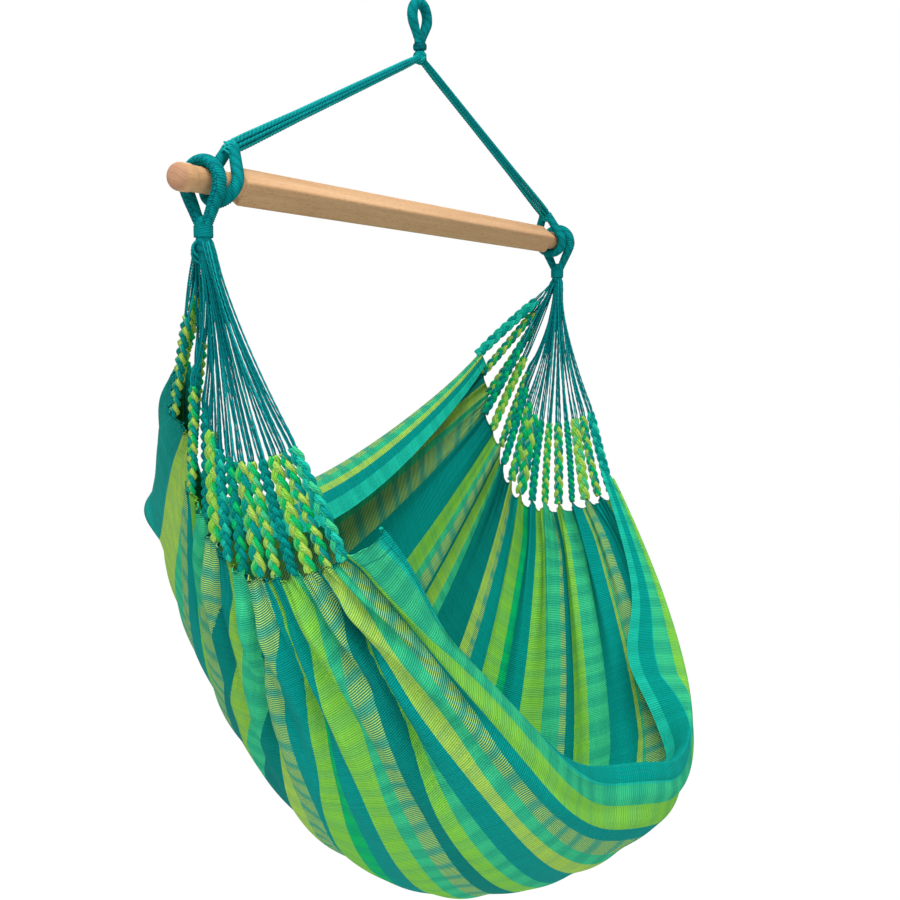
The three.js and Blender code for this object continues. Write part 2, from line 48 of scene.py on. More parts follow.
# Camera
CAMERA_PLACE = (-1.32996, -0.82781, -0.42540)
CAMERA_FORWARD = (0.858446, 0.505703, -0.085648)
CAMERA_LENS = 48.24

camera = bpy.data.objects.new("camera", bpy.data.cameras.new("camera"))
bpy.context.collection.objects.link(camera)
camera.location = CAMERA_PLACE
camera.rotation_euler = Vector(CAMERA_FORWARD).to_track_quat("-Z", "Y").to_euler()
camera.data.lens = CAMERA_LENS
camera.data.sensor_width = 36
bpy.context.scene.camera = camera

# Sizes of the frame, in mm
BAR_Z = -261.45
BAR_HALF = 450
BAR_SIDE = 30
BAR_EDGE = 2.8
BAR_ROLL = math.radians(40)
SQUARE_HALF = 360.0
SPIGOT = 13
KNOB = 14.2
KNOB_LENGTH = 24
TIP_LENGTH, TIP_DROP = 11, 11.5
LOOP_RING = 17.5
LOOP_RING_Z = -10.75
LOOP_REACH = 26.5
LOOP_LEG_HALF = 5.2
LOOP_ROPE = 6.75
LOOP_FOOT_Z = -43.25
KNOT_Z = -60.45
KNOT_RADIUS = 8.5
KNOT_GAP = 0.35
BINDING_RADIUS = 8.8
BINDING_HEIGHT = 8
CHAIR_EYE_X = 408
CHAIR_RING = 22.05
CHAIR_REACH = 42.05
CHAIR_LEG_HALF = 4
CHAIR_SLACK = 2.5
CHAIR_AXIAL, CHAIR_RADIAL = 7.4, 6.2
RIDGE_PITCH = 5.4
NECK_TOP, NECK_BOTTOM = 40.55, 59.55
NECK_RADIUS = 7.8
WHIPPING_TOP = 45.45
WHIPPING_DROP = 9.2
WHIPPING_TURNS = 9
HANGER_EYE_X = 380.3
HANGER_RING = 20.77
HANGER_REACH = 40.77
HANGER_LEAN = math.radians(22)
HANGER_LEG_HALF = 3.6
HANGER_AXIAL, HANGER_RADIAL = 6.5, 5.8
HANGER_TIP = 8
LASHING_HALF = 7.4
GATHER_HALF = 345
FAN_DROP = 67.9
BRAID_COUNT = 16
BRAID_LENGTH = 120
BRAID_TUCK = 5
CORDS_PER_BRAID = 4
PLEAT = 21

# Radius and pitch of each kind of twisted cord.
FAN_CORD, LOOSE_CORD, HANGER_CORD = (1.05, 6.5), (1.4, 7), (1.95, 10)
LASHING_CORD, KNOT_CORD = (1.2, 6), (1.35, 6)

CLOTH_THICKNESS, BACK_THICKNESS, FRONT_THICKNESS = 1.6, 1.8, 3.4
OVERLAP = 0.001

# Places across the cloth: 0 is the edge of its back border, 1 the edge of its front border.
BACK_RIM, FRONT_RIM = 0.08, 0.91

# The cloth across its stripes: place, y and z at a gathered end, y and z in the middle, how
# sharply it turns under there, how tightly its left side is drawn.
CLOTH_SIZES = np.array([125, 410, 352, 872, 1, 1])
CLOTH_ROWS = np.array([
    [0.0, 0.69, -0.468, 0.6, -0.491, 1.7, 0],
    [0.05, 0.744, -0.434, 0.69, -0.445, 1.7, 0],
    [0.08, 0.784, -0.424, 0.765, -0.435, 1.7, 0],
    [0.15, 0.76, -0.517, 0.93, -0.5, 1.8, 0],
    [0.24, 0.7, -0.639, 0.88, -0.631, 1.9, 0],
    [0.33, 0.6, -0.744, 0.69, -0.771, 2.0, 0],
    [0.42, 0.46, -0.849, 0.44, -0.894, 1.9, 0],
    [0.51, 0.27, -0.941, 0.15, -0.975, 1.8, 0],
    [0.59, 0.04, -0.976, -0.15, -1.0, 1.7, 0],
    [0.67, -0.22, -0.98, -0.46, -0.97, 1.7, 0],
    [0.75, -0.48, -0.966, -0.745, -0.908, 1.8, 0.15],
    [0.83, -0.728, -0.945, -0.952, -0.84, 2.1, 0.55],
    [0.91, -0.96, -0.917, -1.0, -0.78, 2.4, 1],
    [0.94, -1.0, -0.884, -0.96, -0.76, 2.4, 1],
    [1.0, -0.82, -0.84, -0.81, -0.782, 2.4, 0.9],
])

# Colours


def linear(red, green, blue):
    """A colour written as on a screen, in the scene's linear values."""
    share = np.array([red, green, blue]) / 255
    low = share / 12.92
    high = ((share + 0.055) / 1.055) ** 2.4
    return tuple(np.where(share <= 0.04045, low, high)) + (1.0,)


COLOURS = {title: linear(*screen) for title, screen in {
    "teal": (0, 148, 140),
    "deep": (0, 130, 122),
    "turquoise": (30, 192, 166),
    "mint": (62, 196, 138),
    "lime": (136, 206, 74),
    "yellow": (172, 208, 88),
    "olive": (148, 200, 74),
    "emerald": (8, 186, 104),
    "melange": (12, 126, 106),
    "border": (0, 156, 144),
    "washed": (24, 152, 142),
    "cord": (0, 122, 124),
    # The paler cord tone; on the suspension lashing it is a painted highlight.
    "cord_dark": (0, 98, 104),
    "cord_light": (16, 148, 146),
}.items()}

# The stripes from the back hem to the front hem: where each starts across the cloth at the
# places STRIPE_ALONG, and its colour. Folds take in more of some stripes than of others.
STRIPE_ALONG = np.array([-0.92, -0.7, -0.4, 0.0, 0.35])
STRIPES = [
    (0.0, 0.0, 0.0, 0.0, 0.0, "turquoise"), (0.022, 0.022, 0.022, 0.024, 0.024, "teal"),
    (0.036, 0.036, 0.038, 0.042, 0.042, "yellow"), (0.048, 0.048, 0.05, 0.054, 0.054, "mint"),
    (0.056, 0.056, 0.06, 0.066, 0.066, "melange"), (0.064, 0.068, 0.074, 0.082, 0.082, "teal"),
    (0.072, 0.078, 0.09, 0.1, 0.1, "lime"), (0.084, 0.092, 0.11, 0.125, 0.125, "emerald"),
    (0.09, 0.102, 0.125, 0.138, 0.138, "washed"), (0.222, 0.215, 0.196, 0.158, 0.16, "yellow"),
    (0.288, 0.283, 0.255, 0.193, 0.19, "mint"), (0.33, 0.312, 0.285, 0.21, 0.205, "melange"),
    (0.35, 0.34, 0.318, 0.245, 0.245, "teal"), (0.358, 0.354, 0.342, 0.308, 0.312, "lime"),
    (0.37, 0.366, 0.356, 0.331, 0.337, "mint"), (0.425, 0.38, 0.37, 0.345, 0.347, "melange"),
    (0.47, 0.422, 0.383, 0.358, 0.366, "deep"), (0.515, 0.46, 0.41, 0.368, 0.369, "olive"),
    (0.535, 0.49, 0.43, 0.388, 0.39, "mint"), (0.588, 0.53, 0.452, 0.409, 0.402, "deep"),
    (0.59, 0.533, 0.495, 0.456, 0.462, "yellow"), (0.592, 0.537, 0.515, 0.48, 0.477, "melange"),
    (0.645, 0.573, 0.545, 0.498, 0.486, "teal"), (0.66, 0.617, 0.55, 0.514, 0.513, "lime"),
    (0.662, 0.632, 0.578, 0.548, 0.541, "emerald"), (0.664, 0.634, 0.597, 0.564, 0.555, "teal"),
    (0.7, 0.652, 0.622, 0.591, 0.589, "lime"), (0.74, 0.694, 0.646, 0.624, 0.623, "mint"),
    (0.767, 0.704, 0.665, 0.636, 0.654, "melange"), (0.806, 0.738, 0.685, 0.656, 0.662, "deep"),
    (0.815, 0.764, 0.701, 0.677, 0.674, "lime"), (0.816, 0.766, 0.719, 0.699, 0.698, "mint"),
    (0.817, 0.768, 0.735, 0.71, 0.726, "teal"), (0.83, 0.793, 0.766, 0.738, 0.771, "yellow"),
    (0.86, 0.822, 0.783, 0.76, 0.778, "mint"), (0.885, 0.853, 0.802, 0.776, 0.78, "melange"),
    (0.903, 0.882, 0.824, 0.802, 0.804, "teal"), (0.905, 0.884, 0.85, 0.826, 0.875, "lime"),
    (0.912, 0.91, 0.895, 0.864, 0.946, "mint"), (0.93, 0.93, 0.92, 0.9, 0.964, "turquoise"),
    (0.95, 0.945, 0.93, 0.904, 0.966, "border"), (0.985, 0.98, 0.974, 0.968, 0.983, "turquoise"),
]
STRIPE_STARTS = np.array([row[:-1] for row in STRIPES] + [(1,) * 5])

# The pattern is laid out as the stripes lie at the fourth place, the middle.
STRIPE_OWN = STRIPE_STARTS[:, 3]

# Each braid from the back rim to the front: its three strands' colours, and half its width in mm
# before BRAID_WIDTHS. Pitch, swing and strands are in half widths.
BRAIDS = {
    "left": [
        ("teal yellow emerald", 5.5), ("lime yellow emerald", 6.0), ("teal yellow deep", 5.5),
        ("emerald lime yellow", 5.5), ("teal deep teal", 5.2), ("emerald yellow teal", 5.0),
        ("teal deep teal", 5.5), ("lime yellow emerald", 8.6), ("teal teal turquoise", 6.0),
        ("teal deep emerald", 6.4), ("yellow teal emerald", 8.6), ("emerald mint yellow", 6.0),
        ("teal teal deep", 5.6), ("lime yellow emerald", 7.4), ("emerald teal yellow", 6.0),
        ("turquoise teal mint", 7.0),
    ],
    "right": [
        ("turquoise turquoise teal", 7.0), ("emerald yellow teal", 5.6),
        ("deep yellow emerald", 6.0), ("teal deep emerald", 6.0), ("lime yellow emerald", 6.2),
        ("yellow emerald teal", 5.0), ("teal teal emerald", 5.6), ("emerald teal lime", 6.6),
        ("yellow emerald teal", 8.2), ("teal teal emerald", 5.6), ("emerald yellow emerald", 5.0),
        ("teal yellow emerald", 6.2), ("emerald teal teal", 4.2), ("lime mint yellow", 7.2),
        ("teal yellow emerald", 5.6), ("turquoise teal teal", 6.2),
    ],
}

BRAID_WIDTHS = {"left": 1.1, "right": 1.16}
BRAID_PITCH, STRAND_SWING, STRAND_HALF = 5.4, 0.56, 0.46
YARN_TINT = 0.9

# Small helpers


def smoothstep(x, low, high):
    t = np.clip((x - low) / (high - low), 0, 1)
    return t * t * (3 - 2 * t)


def hump(x, centre, width, power=2):
    """1 at the centre, falling off smoothly on both sides."""
    return np.exp(-np.abs((x - centre) / width) ** power)


def unit(vectors):
    return vectors / np.maximum(np.linalg.norm(vectors, axis=-1, keepdims=True), 1e-12)


def arc_lengths(points):
    steps = np.linalg.norm(np.diff(points, axis=0), axis=1)
    return np.concatenate([[0], np.cumsum(steps)])


def resample(points, count):
    """The same path with count points, evenly apart."""
    arc = arc_lengths(points)
    at = np.linspace(0, arc[-1], count)
    return np.stack([np.interp(at, arc, points[:, k]) for k in range(3)], 1)


def curve_through(points, count):
    """A smooth path through a few points."""
    points = np.asarray(points, float)
    padded = np.vstack([2 * points[0] - points[1], points, 2 * points[-1] - points[-2]])
    pieces = []
    t = np.linspace(0, 1, 24, endpoint=False)[:, None]
    for a, b, c, d in zip(padded, padded[1:], padded[2:], padded[3:]):
        pieces.append(0.5 * (2 * b + (c - a) * t + (2 * a - 5 * b + 4 * c - d) * t ** 2
                             + (3 * b - a - 3 * c + d) * t ** 3))
    return resample(np.vstack(pieces + [points[-1:]]), count)


class Shape:
    """Quads and triangles of one piece, in mm, with a place in the pattern and a tint."""

    def __init__(self):
        self.points, self.quads, self.triangles = [], [], []
        self.quad_maps, self.triangle_maps, self.tints = [], [], []
        self.count = 0

    def add(self, points, quads, quad_maps, triangles=None, triangle_maps=None, tint=None):
        self.points.append(points)
        self.quads.append(quads + self.count)
        self.quad_maps.append(quad_maps)
        if triangles is not None:
            self.triangles.append(triangles + self.count)
            self.triangle_maps.append(triangle_maps)
        colour = COLOURS["cord"] if tint is None else tint
        self.tints.append(np.broadcast_to(np.array(colour, float), (len(points), 4)))
        self.count += len(points)

    def piece(self, name, material, body, slot, *nodes):
        """The object of this shape, riding on its body in place of the nodes."""
        points = np.concatenate(self.points) * MM
        quads = np.concatenate(self.quads)
        maps = [np.concatenate(self.quad_maps).reshape(-1, 2)]
        corners = [quads.ravel()]
        sizes = np.full(len(quads), 4)
        if self.triangles:
            triangles = np.concatenate(self.triangles)
            corners.append(triangles.ravel())
            maps.append(np.concatenate(self.triangle_maps).reshape(-1, 2))
            sizes = np.concatenate([sizes, np.full(len(triangles), 3)])
        corners = np.concatenate(corners)
        mesh = bpy.data.meshes.new(name)
        mesh.vertices.add(len(points))
        mesh.vertices.foreach_set("co", points.astype(np.float32).ravel())
        mesh.loops.add(len(corners))
        mesh.loops.foreach_set("vertex_index", corners.astype(np.int32))
        mesh.polygons.add(len(sizes))
        starts = np.concatenate([[0], np.cumsum(sizes)[:-1]])
        mesh.polygons.foreach_set("loop_start", starts.astype(np.int32))
        mesh.polygons.foreach_set("use_smooth", np.ones(len(sizes), bool))
        mesh.update(calc_edges=True)
        layer = mesh.uv_layers.new(name="pattern")
        layer.data.foreach_set("uv", np.concatenate(maps).astype(np.float32).ravel())
        tint = mesh.attributes.new("tint", "FLOAT_COLOR", "POINT")
        tint.data.foreach_set("color", np.concatenate(self.tints).astype(np.float32).ravel())
        mesh.validate()
        mesh.materials.append(material)
        made = bpy.data.objects.new(name, mesh)
        bpy.context.collection.objects.link(made)
        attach(made, body)
        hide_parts(*nodes)
        return made


def add_rings(shape, points, poles, arc, tint=None):
    """A closed body of rings of points with a pole at each end. Its pattern runs round the rings
    and along the arc."""
    count, sides = points.shape[:2]
    row = np.arange(count - 1)[:, None]
    column = np.arange(sides)[None, :]
    after = (column + 1) % sides
    quads = np.stack([row * sides + column, row * sides + after,
                      (row + 1) * sides + after, (row + 1) * sides + column], -1)
    share, next_share = column / sides + 0 * row, (column + 1) / sides + 0 * row
    here, there = arc[:-1, None] * MM + 0 * column, arc[1:, None] * MM + 0 * column
    maps = np.stack([np.stack(pair, -1) for pair in (
        (share, here), (next_share, here), (next_share, there), (share, there))], 2)
    ring = np.arange(sides)
    follow = (ring + 1) % sides
    first_pole, last = count * sides, (count - 1) * sides
    triangles = np.concatenate([
        np.stack([follow, ring, np.full(sides, first_pole)], -1),
        np.stack([last + ring, last + follow, np.full(sides, first_pole + 1)], -1)])
    triangle_maps = np.zeros((2 * sides, 3, 2))
    triangle_maps[:, :, 0] = np.tile(ring / sides, 2)[:, None]
    triangle_maps[sides:, :, 1] = arc[-1] * MM
    shape.add(np.vstack([points.reshape(-1, 3), poles]), quads.reshape(-1, 4),
              maps.reshape(-1, 4, 2), triangles, triangle_maps, tint)


def tube(shape, path, across, halves, sides, relief=None, tint=None, dome=0.5):
    """A closed tube along a path. halves are the section's two half sizes, along across first,
    relief gives the height of its surface detail from the arc length and the angle, and a tube
    without a tint has the colour of the cords."""
    count = len(path)
    along = unit(np.gradient(path, axis=0))
    across = np.broadcast_to(np.asarray(across, float), path.shape)
    first = unit(across - along * (across * along).sum(1, keepdims=True))
    second = np.cross(along, first)
    angle = np.linspace(0, FULL_TURN, sides, endpoint=False)
    arc = arc_lengths(path)
    half_first, half_second = (np.broadcast_to(np.asarray(half, float), (count,))[:, None, None]
                               for half in halves)
    cosine = np.cos(angle)[None, :, None]
    sine = np.sin(angle)[None, :, None]
    away = half_first * cosine * first[:, None] + half_second * sine * second[:, None]
    if relief is not None:
        out = unit(half_second * cosine * first[:, None] + half_first * sine * second[:, None])
        away = away + out * relief(arc[:, None], angle[None, :])[:, :, None]
    poles = np.stack([path[0] - along[0] * dome * half_second[0, 0, 0],
                      path[-1] + along[-1] * dome * half_second[-1, 0, 0]])
    add_rings(shape, path[:, None] + away, poles, arc, tint)


def upright(centre, heights):
    """A path straight up or down through a centre."""
    return np.stack([centre + (0, 0, height) for height in heights])


def twisted_cord(shape, path, radius, pitch, tint, sides=10, phase=0.0):
    """A two-ply cord."""
    tube(shape, path, (0.31, 0.83, 0.46), (radius, radius), sides, tint=tint,
         relief=lambda arc, angle: 0.16 * radius
         * np.cos(2 * (angle - FULL_TURN * arc / pitch + phase)))


def eye_path(ring, reach, leg_half, count):
    """A rope eye in the YZ plane, round a ring about the origin, with its legs meeting at +Z."""
    tip = np.array([leg_half, reach])
    length = math.hypot(*tip)
    touch = math.atan2(leg_half, reach) + math.acos(ring / length)
    leg = math.sqrt(length ** 2 - ring ** 2)
    arc = 2 * (math.pi - touch) * ring
    run = np.linspace(0, 2 * leg + arc, count)
    foot = ring * np.array([math.sin(touch), math.cos(touch)])
    near = np.minimum(run, 2 * leg + arc - run)
    on_leg = tip + (foot - tip) * (near / leg)[:, None]
    on_leg[:, 0] *= np.where(run < leg + arc / 2, 1, -1)
    angle = touch + (run - leg) / ring
    on_ring = ring * np.stack([np.sin(angle), np.cos(angle)], 1)
    flat = np.where((near < leg)[:, None], on_leg, on_ring)
    return np.stack([0 * run, flat[:, 0], flat[:, 1]], 1)


def eye_taper(count, share):
    """An eye's thickness along its rope: share of the full one where its legs meet."""
    at = np.linspace(0, 1, count)
    return share + (1 - share) * smoothstep(np.minimum(at, 1 - at), 0, 0.22)


# Materials


SPECULAR = 0.06


class Nodes:
    """The node tree of a material or a world, built by short calls."""

    def __init__(self, owner):
        owner.use_nodes = True
        self.owner = owner
        self.tree = owner.node_tree
        self.shader = self.tree.nodes.get("Principled BSDF")

    def put(self, value, socket):
        if isinstance(value, bpy.types.NodeSocket):
            self.tree.links.new(value, socket)
        else:
            socket.default_value = value

    def node(self, kind, inputs=None, **settings):
        """A shader node of a kind, with values or sockets put into its inputs."""
        made = self.tree.nodes.new("ShaderNode" + kind)
        for key, value in settings.items():
            setattr(made, key, value)
        for key, value in (inputs or {}).items():
            self.put(value, made.inputs[key])
        return made

    def math(self, operation, *values):
        made = self.node("Math", operation=operation)
        for value, socket in zip(values, made.inputs):
            self.put(value, socket)
        return made.outputs[0]

    def times(self, first, second):
        return self.math("MULTIPLY", first, second)

    def range(self, value, low, high, to_low=0, to_high=1):
        made = self.node("MapRange", {"Value": value, "From Min": low, "From Max": high,
                                      "To Min": to_low, "To Max": to_high})
        return made.outputs["Result"]

    def spread(self, noise, to_low=0, to_high=1):
        """The usual values of a noise or a wave, stretched to another range."""
        return self.range(noise, 0.3, 0.7, to_low, to_high)

    def mix(self, factor, first, second, blend="MIX"):
        made = self.node("Mix", data_type="RGBA", blend_type=blend)
        for value, socket in zip((factor, first, second), (0, 6, 7)):
            self.put(value, made.inputs[socket])
        return made.outputs[2]

    def shaded(self, colour, share):
        grey = self.node("CombineColor", {"Red": share, "Green": share, "Blue": share})
        return self.mix(1.0, colour, grey.outputs[0], "MULTIPLY")

    def noise(self, vector, scale=1.0, detail=2.0, roughness=0.5):
        made = self.node("TexNoise", {"Vector": vector, "Scale": scale, "Detail": detail,
                                      "Roughness": roughness})
        return made.outputs[0]

    def streaks(self, x, x_scale, y=0.0, y_scale=1.0, detail=1):
        """A noise drawn out along one of two axes."""
        made = self.node("CombineXYZ", {"X": self.times(x, x_scale),
                                        "Y": self.times(y, y_scale)})
        return self.noise(made.outputs[0], 1, detail)

    def wave(self, operation, turn):
        return self.math("MULTIPLY_ADD", self.math(operation, turn), 0.5, 0.5)

    def place(self):
        return self.node("TexCoord").outputs["Object"]

    def stretched(self, place, along, across):
        made = self.node("Mapping", {"Vector": place, "Scale": (along, across, across)})
        return made.outputs[0]

    def pattern(self):
        made = self.node("UVMap", uv_map="pattern")
        split = self.node("SeparateXYZ", {"Vector": made.outputs[0]})
        return split.outputs[0], split.outputs[1]

    def tint(self):
        return self.node("VertexColor", layer_name="tint").outputs[0]

    def finish(self, colour, height, depth, roughness):
        bump = self.node("Bump", {"Height": height, "Distance": depth, "Strength": 1.0})
        for title, value in {"Base Color": colour, "Normal": bump.outputs[0],
                             "Roughness": roughness, "Specular IOR Level": SPECULAR}.items():
            self.put(value, self.shader.inputs[title])
        return self.owner


def cord_material(name, lines, slant, depth):
    """Spun yarn: fine slanting lines round a cord with painted shade in their grooves, and
    slightly uneven dye.
    """
    n = Nodes(bpy.data.materials.new(name))
    around, along = n.pattern()
    place = n.place()
    turn = n.math("MULTIPLY_ADD", around, lines * FULL_TURN, n.times(along, slant))
    wave = n.wave("SINE", turn)
    fibre = n.noise(place, 900, 3, 0.6)
    dye = n.noise(place, 60, 3, 0.55)
    # The grooves between the lines are darkened: painted shade. Dye and fibre noise vary the tone
    # at random.
    shade = n.times(n.range(wave, 0, 0.5, 0.7, 1), n.spread(dye, 0.88, 1.1))
    shade = n.times(shade, n.spread(fibre, 0.86, 1.12))
    height = n.math("MULTIPLY_ADD", fibre, 0.35, wave)
    return n.finish(n.shaded(n.tint(), shade), height, depth, n.spread(fibre, 0.8, 0.95))


# How much of its own colour a kind of stripe keeps in a weft band; melange is woven another way.
PLAID = {"melange": 0.0, "mint": 0.5, "border": 0.8, "washed": 0.45, "turquoise": 0.8,
         "emerald": 0.6}
RAMP_SPLIT = 0.498
WEFT_PITCH = 0.0027
WEFT_BANDS, BAND_DRIFT = 0.034, 0.17
BORDER_WANDER = 0.0012
SEAM_PLACE, SEAM_HALF = 0.952, 0.0025


def stripe_ramp(n, value, low, high):
    """One colour ramp for the stripes from low to high. Its alpha tells how a stripe is woven:
    0 is melange, and the further it is under 1, the more its weft bands show."""
    ramp = n.node("ValToRGB")
    ramp.color_ramp.interpolation = "CONSTANT"
    stops = [((row[3] - low) / (high - low), row[-1]) for row in STRIPES if low <= row[3] < high]
    elements = ramp.color_ramp.elements
    while len(elements) < len(stops):
        elements.new(0.5)
    for element, (place, title) in zip(elements, stops):
        element.position = place
    for element, (place, title) in zip(elements, stops):
        element.color = COLOURS[title][:3] + (PLAID.get(title, 1.0),)
    n.put(n.range(value, low, high), ramp.inputs[0])
    return ramp.outputs["Color"], ramp.outputs["Alpha"]


def cloth_material():
    """Striped cotton with ribs across the stripes. A ramp holds at most 32 colours, so two ramps
    that meet at RAMP_SPLIT hold the stripes."""
    n = Nodes(bpy.data.materials.new("striped_cotton"))
    across, along = n.pattern()
    threads = n.streaks(across, 900, along, 260)
    at = n.math("MULTIPLY_ADD", n.math("SUBTRACT", threads, 0.5), BORDER_WANDER, across)
    first, first_kind = stripe_ramp(n, at, 0, RAMP_SPLIT)
    second, second_kind = stripe_ramp(n, at, RAMP_SPLIT, 1)
    later = n.math("GREATER_THAN", at, RAMP_SPLIT)
    colour = n.mix(later, first, second)
    kind = n.math("ADD", n.times(first_kind, n.math("SUBTRACT", 1.0, later)),
                  n.times(second_kind, later))

    # Weft rows with painted shade in the valleys between them, and the bands of rows in another
    # yarn.
    row = n.times(along, 1 / WEFT_PITCH)
    number = n.math("FLOOR", row)
    wave = n.wave("COSINE", n.times(row, FULL_TURN))
    valley = n.math("POWER", wave, 1.5)
    row_place = n.times(number, WEFT_PITCH)
    drift = n.math("SINE", n.times(row_place, FULL_TURN / BAND_DRIFT))
    turn = n.math("MULTIPLY_ADD", row_place, FULL_TURN / WEFT_BANDS, n.times(drift, 1.3))
    bands = n.math("SINE", turn)
    band = n.range(bands, -0.5, 0.5)
    uneven = n.streaks(0.0, 1.0, number, 0.71)

    # Plain stripes take a little of the weft's teal, and more of it in a band.
    share = n.math("MULTIPLY_ADD", band, n.range(kind, 0.2, 1, 0.5, 0.15), 0.02)
    colour = n.mix(share, colour, linear(0, 142, 128))
    # The valleys between weft rows are darkened towards this colour: painted shade.
    dark = n.mix(1.0, colour, linear(118, 188, 190), "MULTIPLY")
    colour = n.mix(n.times(valley, n.spread(uneven, 0.3, 1.0)), colour, dark)

    # Melange stripes: pale rows between dark ones.
    pale = n.mix(n.range(bands, 0.0, 0.9), linear(178, 214, 104), linear(104, 184, 142))
    melange = n.mix(n.range(wave, 0.18, 0.56), pale, COLOURS["melange"])
    colour = n.mix(n.math("LESS_THAN", kind, 0.1), colour, melange)

    warp = n.streaks(across, 1300, along, 30)
    wear = n.noise(n.place(), 9, 3, 0.6)
    colour = n.shaded(colour, n.times(n.spread(warp, 0.92, 1.06), n.spread(wear, 0.95, 1.04)))

    # A seam is stitched across each border close to its gathered ends. The tint holds how near
    # the end a point is, and whether it lies in a border.
    ends = n.node("SeparateColor", {"Color": n.tint()})
    from_seam = n.math("ABSOLUTE", n.math("SUBTRACT", ends.outputs[0], SEAM_PLACE))
    seam = n.times(n.math("LESS_THAN", from_seam, SEAM_HALF), ends.outputs[1])
    colour = n.mix(n.times(seam, 0.6), colour, linear(0, 104, 108))
    height = n.math("MULTIPLY_ADD", warp, 0.4, n.times(wave, -1.0))
    return n.finish(colour, height, 0.0009, n.spread(warp, 0.84, 0.96))


# The bar's heart lies off its middle, so its rings do too. All in metres.
HEART_Y, HEART_Z = 0.009, BAR_Z * MM - 0.022
TIP_START, TIP_END = 0.440, 0.4455


def wood_material():
    """Beech: long grain, flecks and pores, and rings of a darker tone on both tips."""
    n = Nodes(bpy.data.materials.new("beech"))
    place = n.place()
    grain = n.noise(n.stretched(place, 2.2, 60), 1.4, 5, 0.6)
    flecks = n.noise(n.stretched(place, 130, 900), 1, 2, 0.6)
    pores = n.noise(n.stretched(place, 60, 1500), 1, 2, 0.5)
    colour = n.mix(n.spread(grain), linear(200, 162, 122), linear(178, 138, 98))
    colour = n.mix(n.range(flecks, 0.54, 0.72, 0, 0.65), colour, linear(160, 114, 76))
    colour = n.mix(n.range(pores, 0.6, 0.78, 0, 0.45), colour, linear(132, 94, 62))
    x, y, z = n.node("SeparateXYZ", {"Vector": place}).outputs
    tip = n.range(n.math("ABSOLUTE", x), TIP_START, TIP_END)
    y, z = n.math("SUBTRACT", y, HEART_Y), n.math("SUBTRACT", z, HEART_Z)
    from_heart = n.math("SQRT", n.math("ADD", n.times(y, y), n.times(z, z)))
    rings = n.streaks(from_heart, 700, detail=2)
    end_grain = n.mix(n.spread(rings), linear(170, 132, 104), linear(146, 106, 80))
    height = n.math("MULTIPLY_ADD", flecks, -0.4, grain)
    return n.finish(n.mix(tip, colour, end_grain), height, 0.0002, n.spread(grain, 0.46, 0.6))


CORD = cord_material("teal_cord", 2, 900, 0.0004)
WRAP = cord_material("wrapped_cord", 3, 500, 0.0003)
YARN = cord_material("braid_yarn", 5, 1500, 0.0005)
CLOTH = cloth_material()
WOOD = wood_material()

# Cloth


def through_rows(places, values, at):
    """A smooth curve through rows of values, each at its own place."""
    count = len(places)
    before = np.maximum(np.arange(count) - 1, 0)
    after = np.minimum(np.arange(count) + 1, count - 1)
    slopes = (values[after] - values[before]) / (places[after] - places[before])[:, None]
    index = np.clip(np.searchsorted(places, at, side="left") - 1, 0, count - 2)
    span = (places[index + 1] - places[index])[..., None]
    t = ((at - places[index]) / span[..., 0])[..., None]
    ease = t * t * (3 - 2 * t)
    return (values[index] * (1 - ease) + values[index + 1] * ease
            + span * (t * (1 - t) ** 2 * slopes[index] + t * t * (t - 1) * slopes[index + 1]))


def tight_hang(place):
    """How far tightly drawn cloth hangs: straight from its end, then level, with a soft bend."""
    def held(s):
        straight = (1 - s) / 0.65
        return straight - np.log1p(np.exp(6 * (straight - 1))) / 6
    return (held(np.abs(place)) - held(1.0)) / (held(0.0) - held(1.0))


def evened(along):
    """The share of the way to an end at which a place along the cloth lies."""
    return np.arcsinh(along * math.sinh(2)) / 2


def smooth_cloth(along, across):
    """A point of the unpleated cloth, in mm. along runs from -1 at the left end to 1."""
    numbers = through_rows(CLOTH_ROWS[:, 0], CLOTH_ROWS[:, 1:] * CLOTH_SIZES, across)
    gather_y, gather_z, middle_y, middle_z, turn, tight = np.moveaxis(numbers, -1, 0)
    place = evened(along)
    loose = (np.cosh(turn) - np.cosh(turn * place)) / (np.cosh(turn) - 1)
    hang = np.where(place < 0, loose * (1 - tight) + tight_hang(place) * tight, loose)
    return np.stack([place * GATHER_HALF,
                     gather_y + (middle_y - gather_y) * hang,
                     BAR_Z + gather_z + (middle_z - gather_z) * hang], -1)


def braid_offset(index):
    """The rearmost braids hang in three layers, this far apart along the bar."""
    return 11.5 * ((index % 3) - 1) if index < 6 else 0.0


def braid_across(index):
    return BACK_RIM + (FRONT_RIM - BACK_RIM) * index / (BRAID_COUNT - 1)


def lanes(across):
    """Places across the cloth, counted in braids."""
    return (across - BACK_RIM) / (FRONT_RIM - BACK_RIM) * (BRAID_COUNT - 1)


def ripples(along, across):
    """Small uneven folds of the cloth, in mm: strong by the gathered ends, weak between."""
    edge = np.abs(along)
    side = np.where(along < 0, 0.0, 1.7)
    lane = lanes(across)
    near = (2.2 * np.sin(FULL_TURN * (2.3 * lane + 0.9 * np.sin(1.7 * lane + side)))
            + 1.4 * np.sin(FULL_TURN * (3.9 * lane + 0.2 * side) + 2.5 * along))
    middle = (2.4 * np.sin(FULL_TURN * 0.83 * lane + 3.1 * along + 0.8)
              + 1.8 * np.sin(FULL_TURN * 1.31 * lane - 2.3 * along + 2.0)
              + 1.2 * np.sin(FULL_TURN * 0.47 * lane + 7.0 * along))
    calm = np.where(along < 0, 1 - 0.62 * edge, 1.0)
    return near * edge ** 5 + middle * (0.45 + 0.55 * edge) * calm


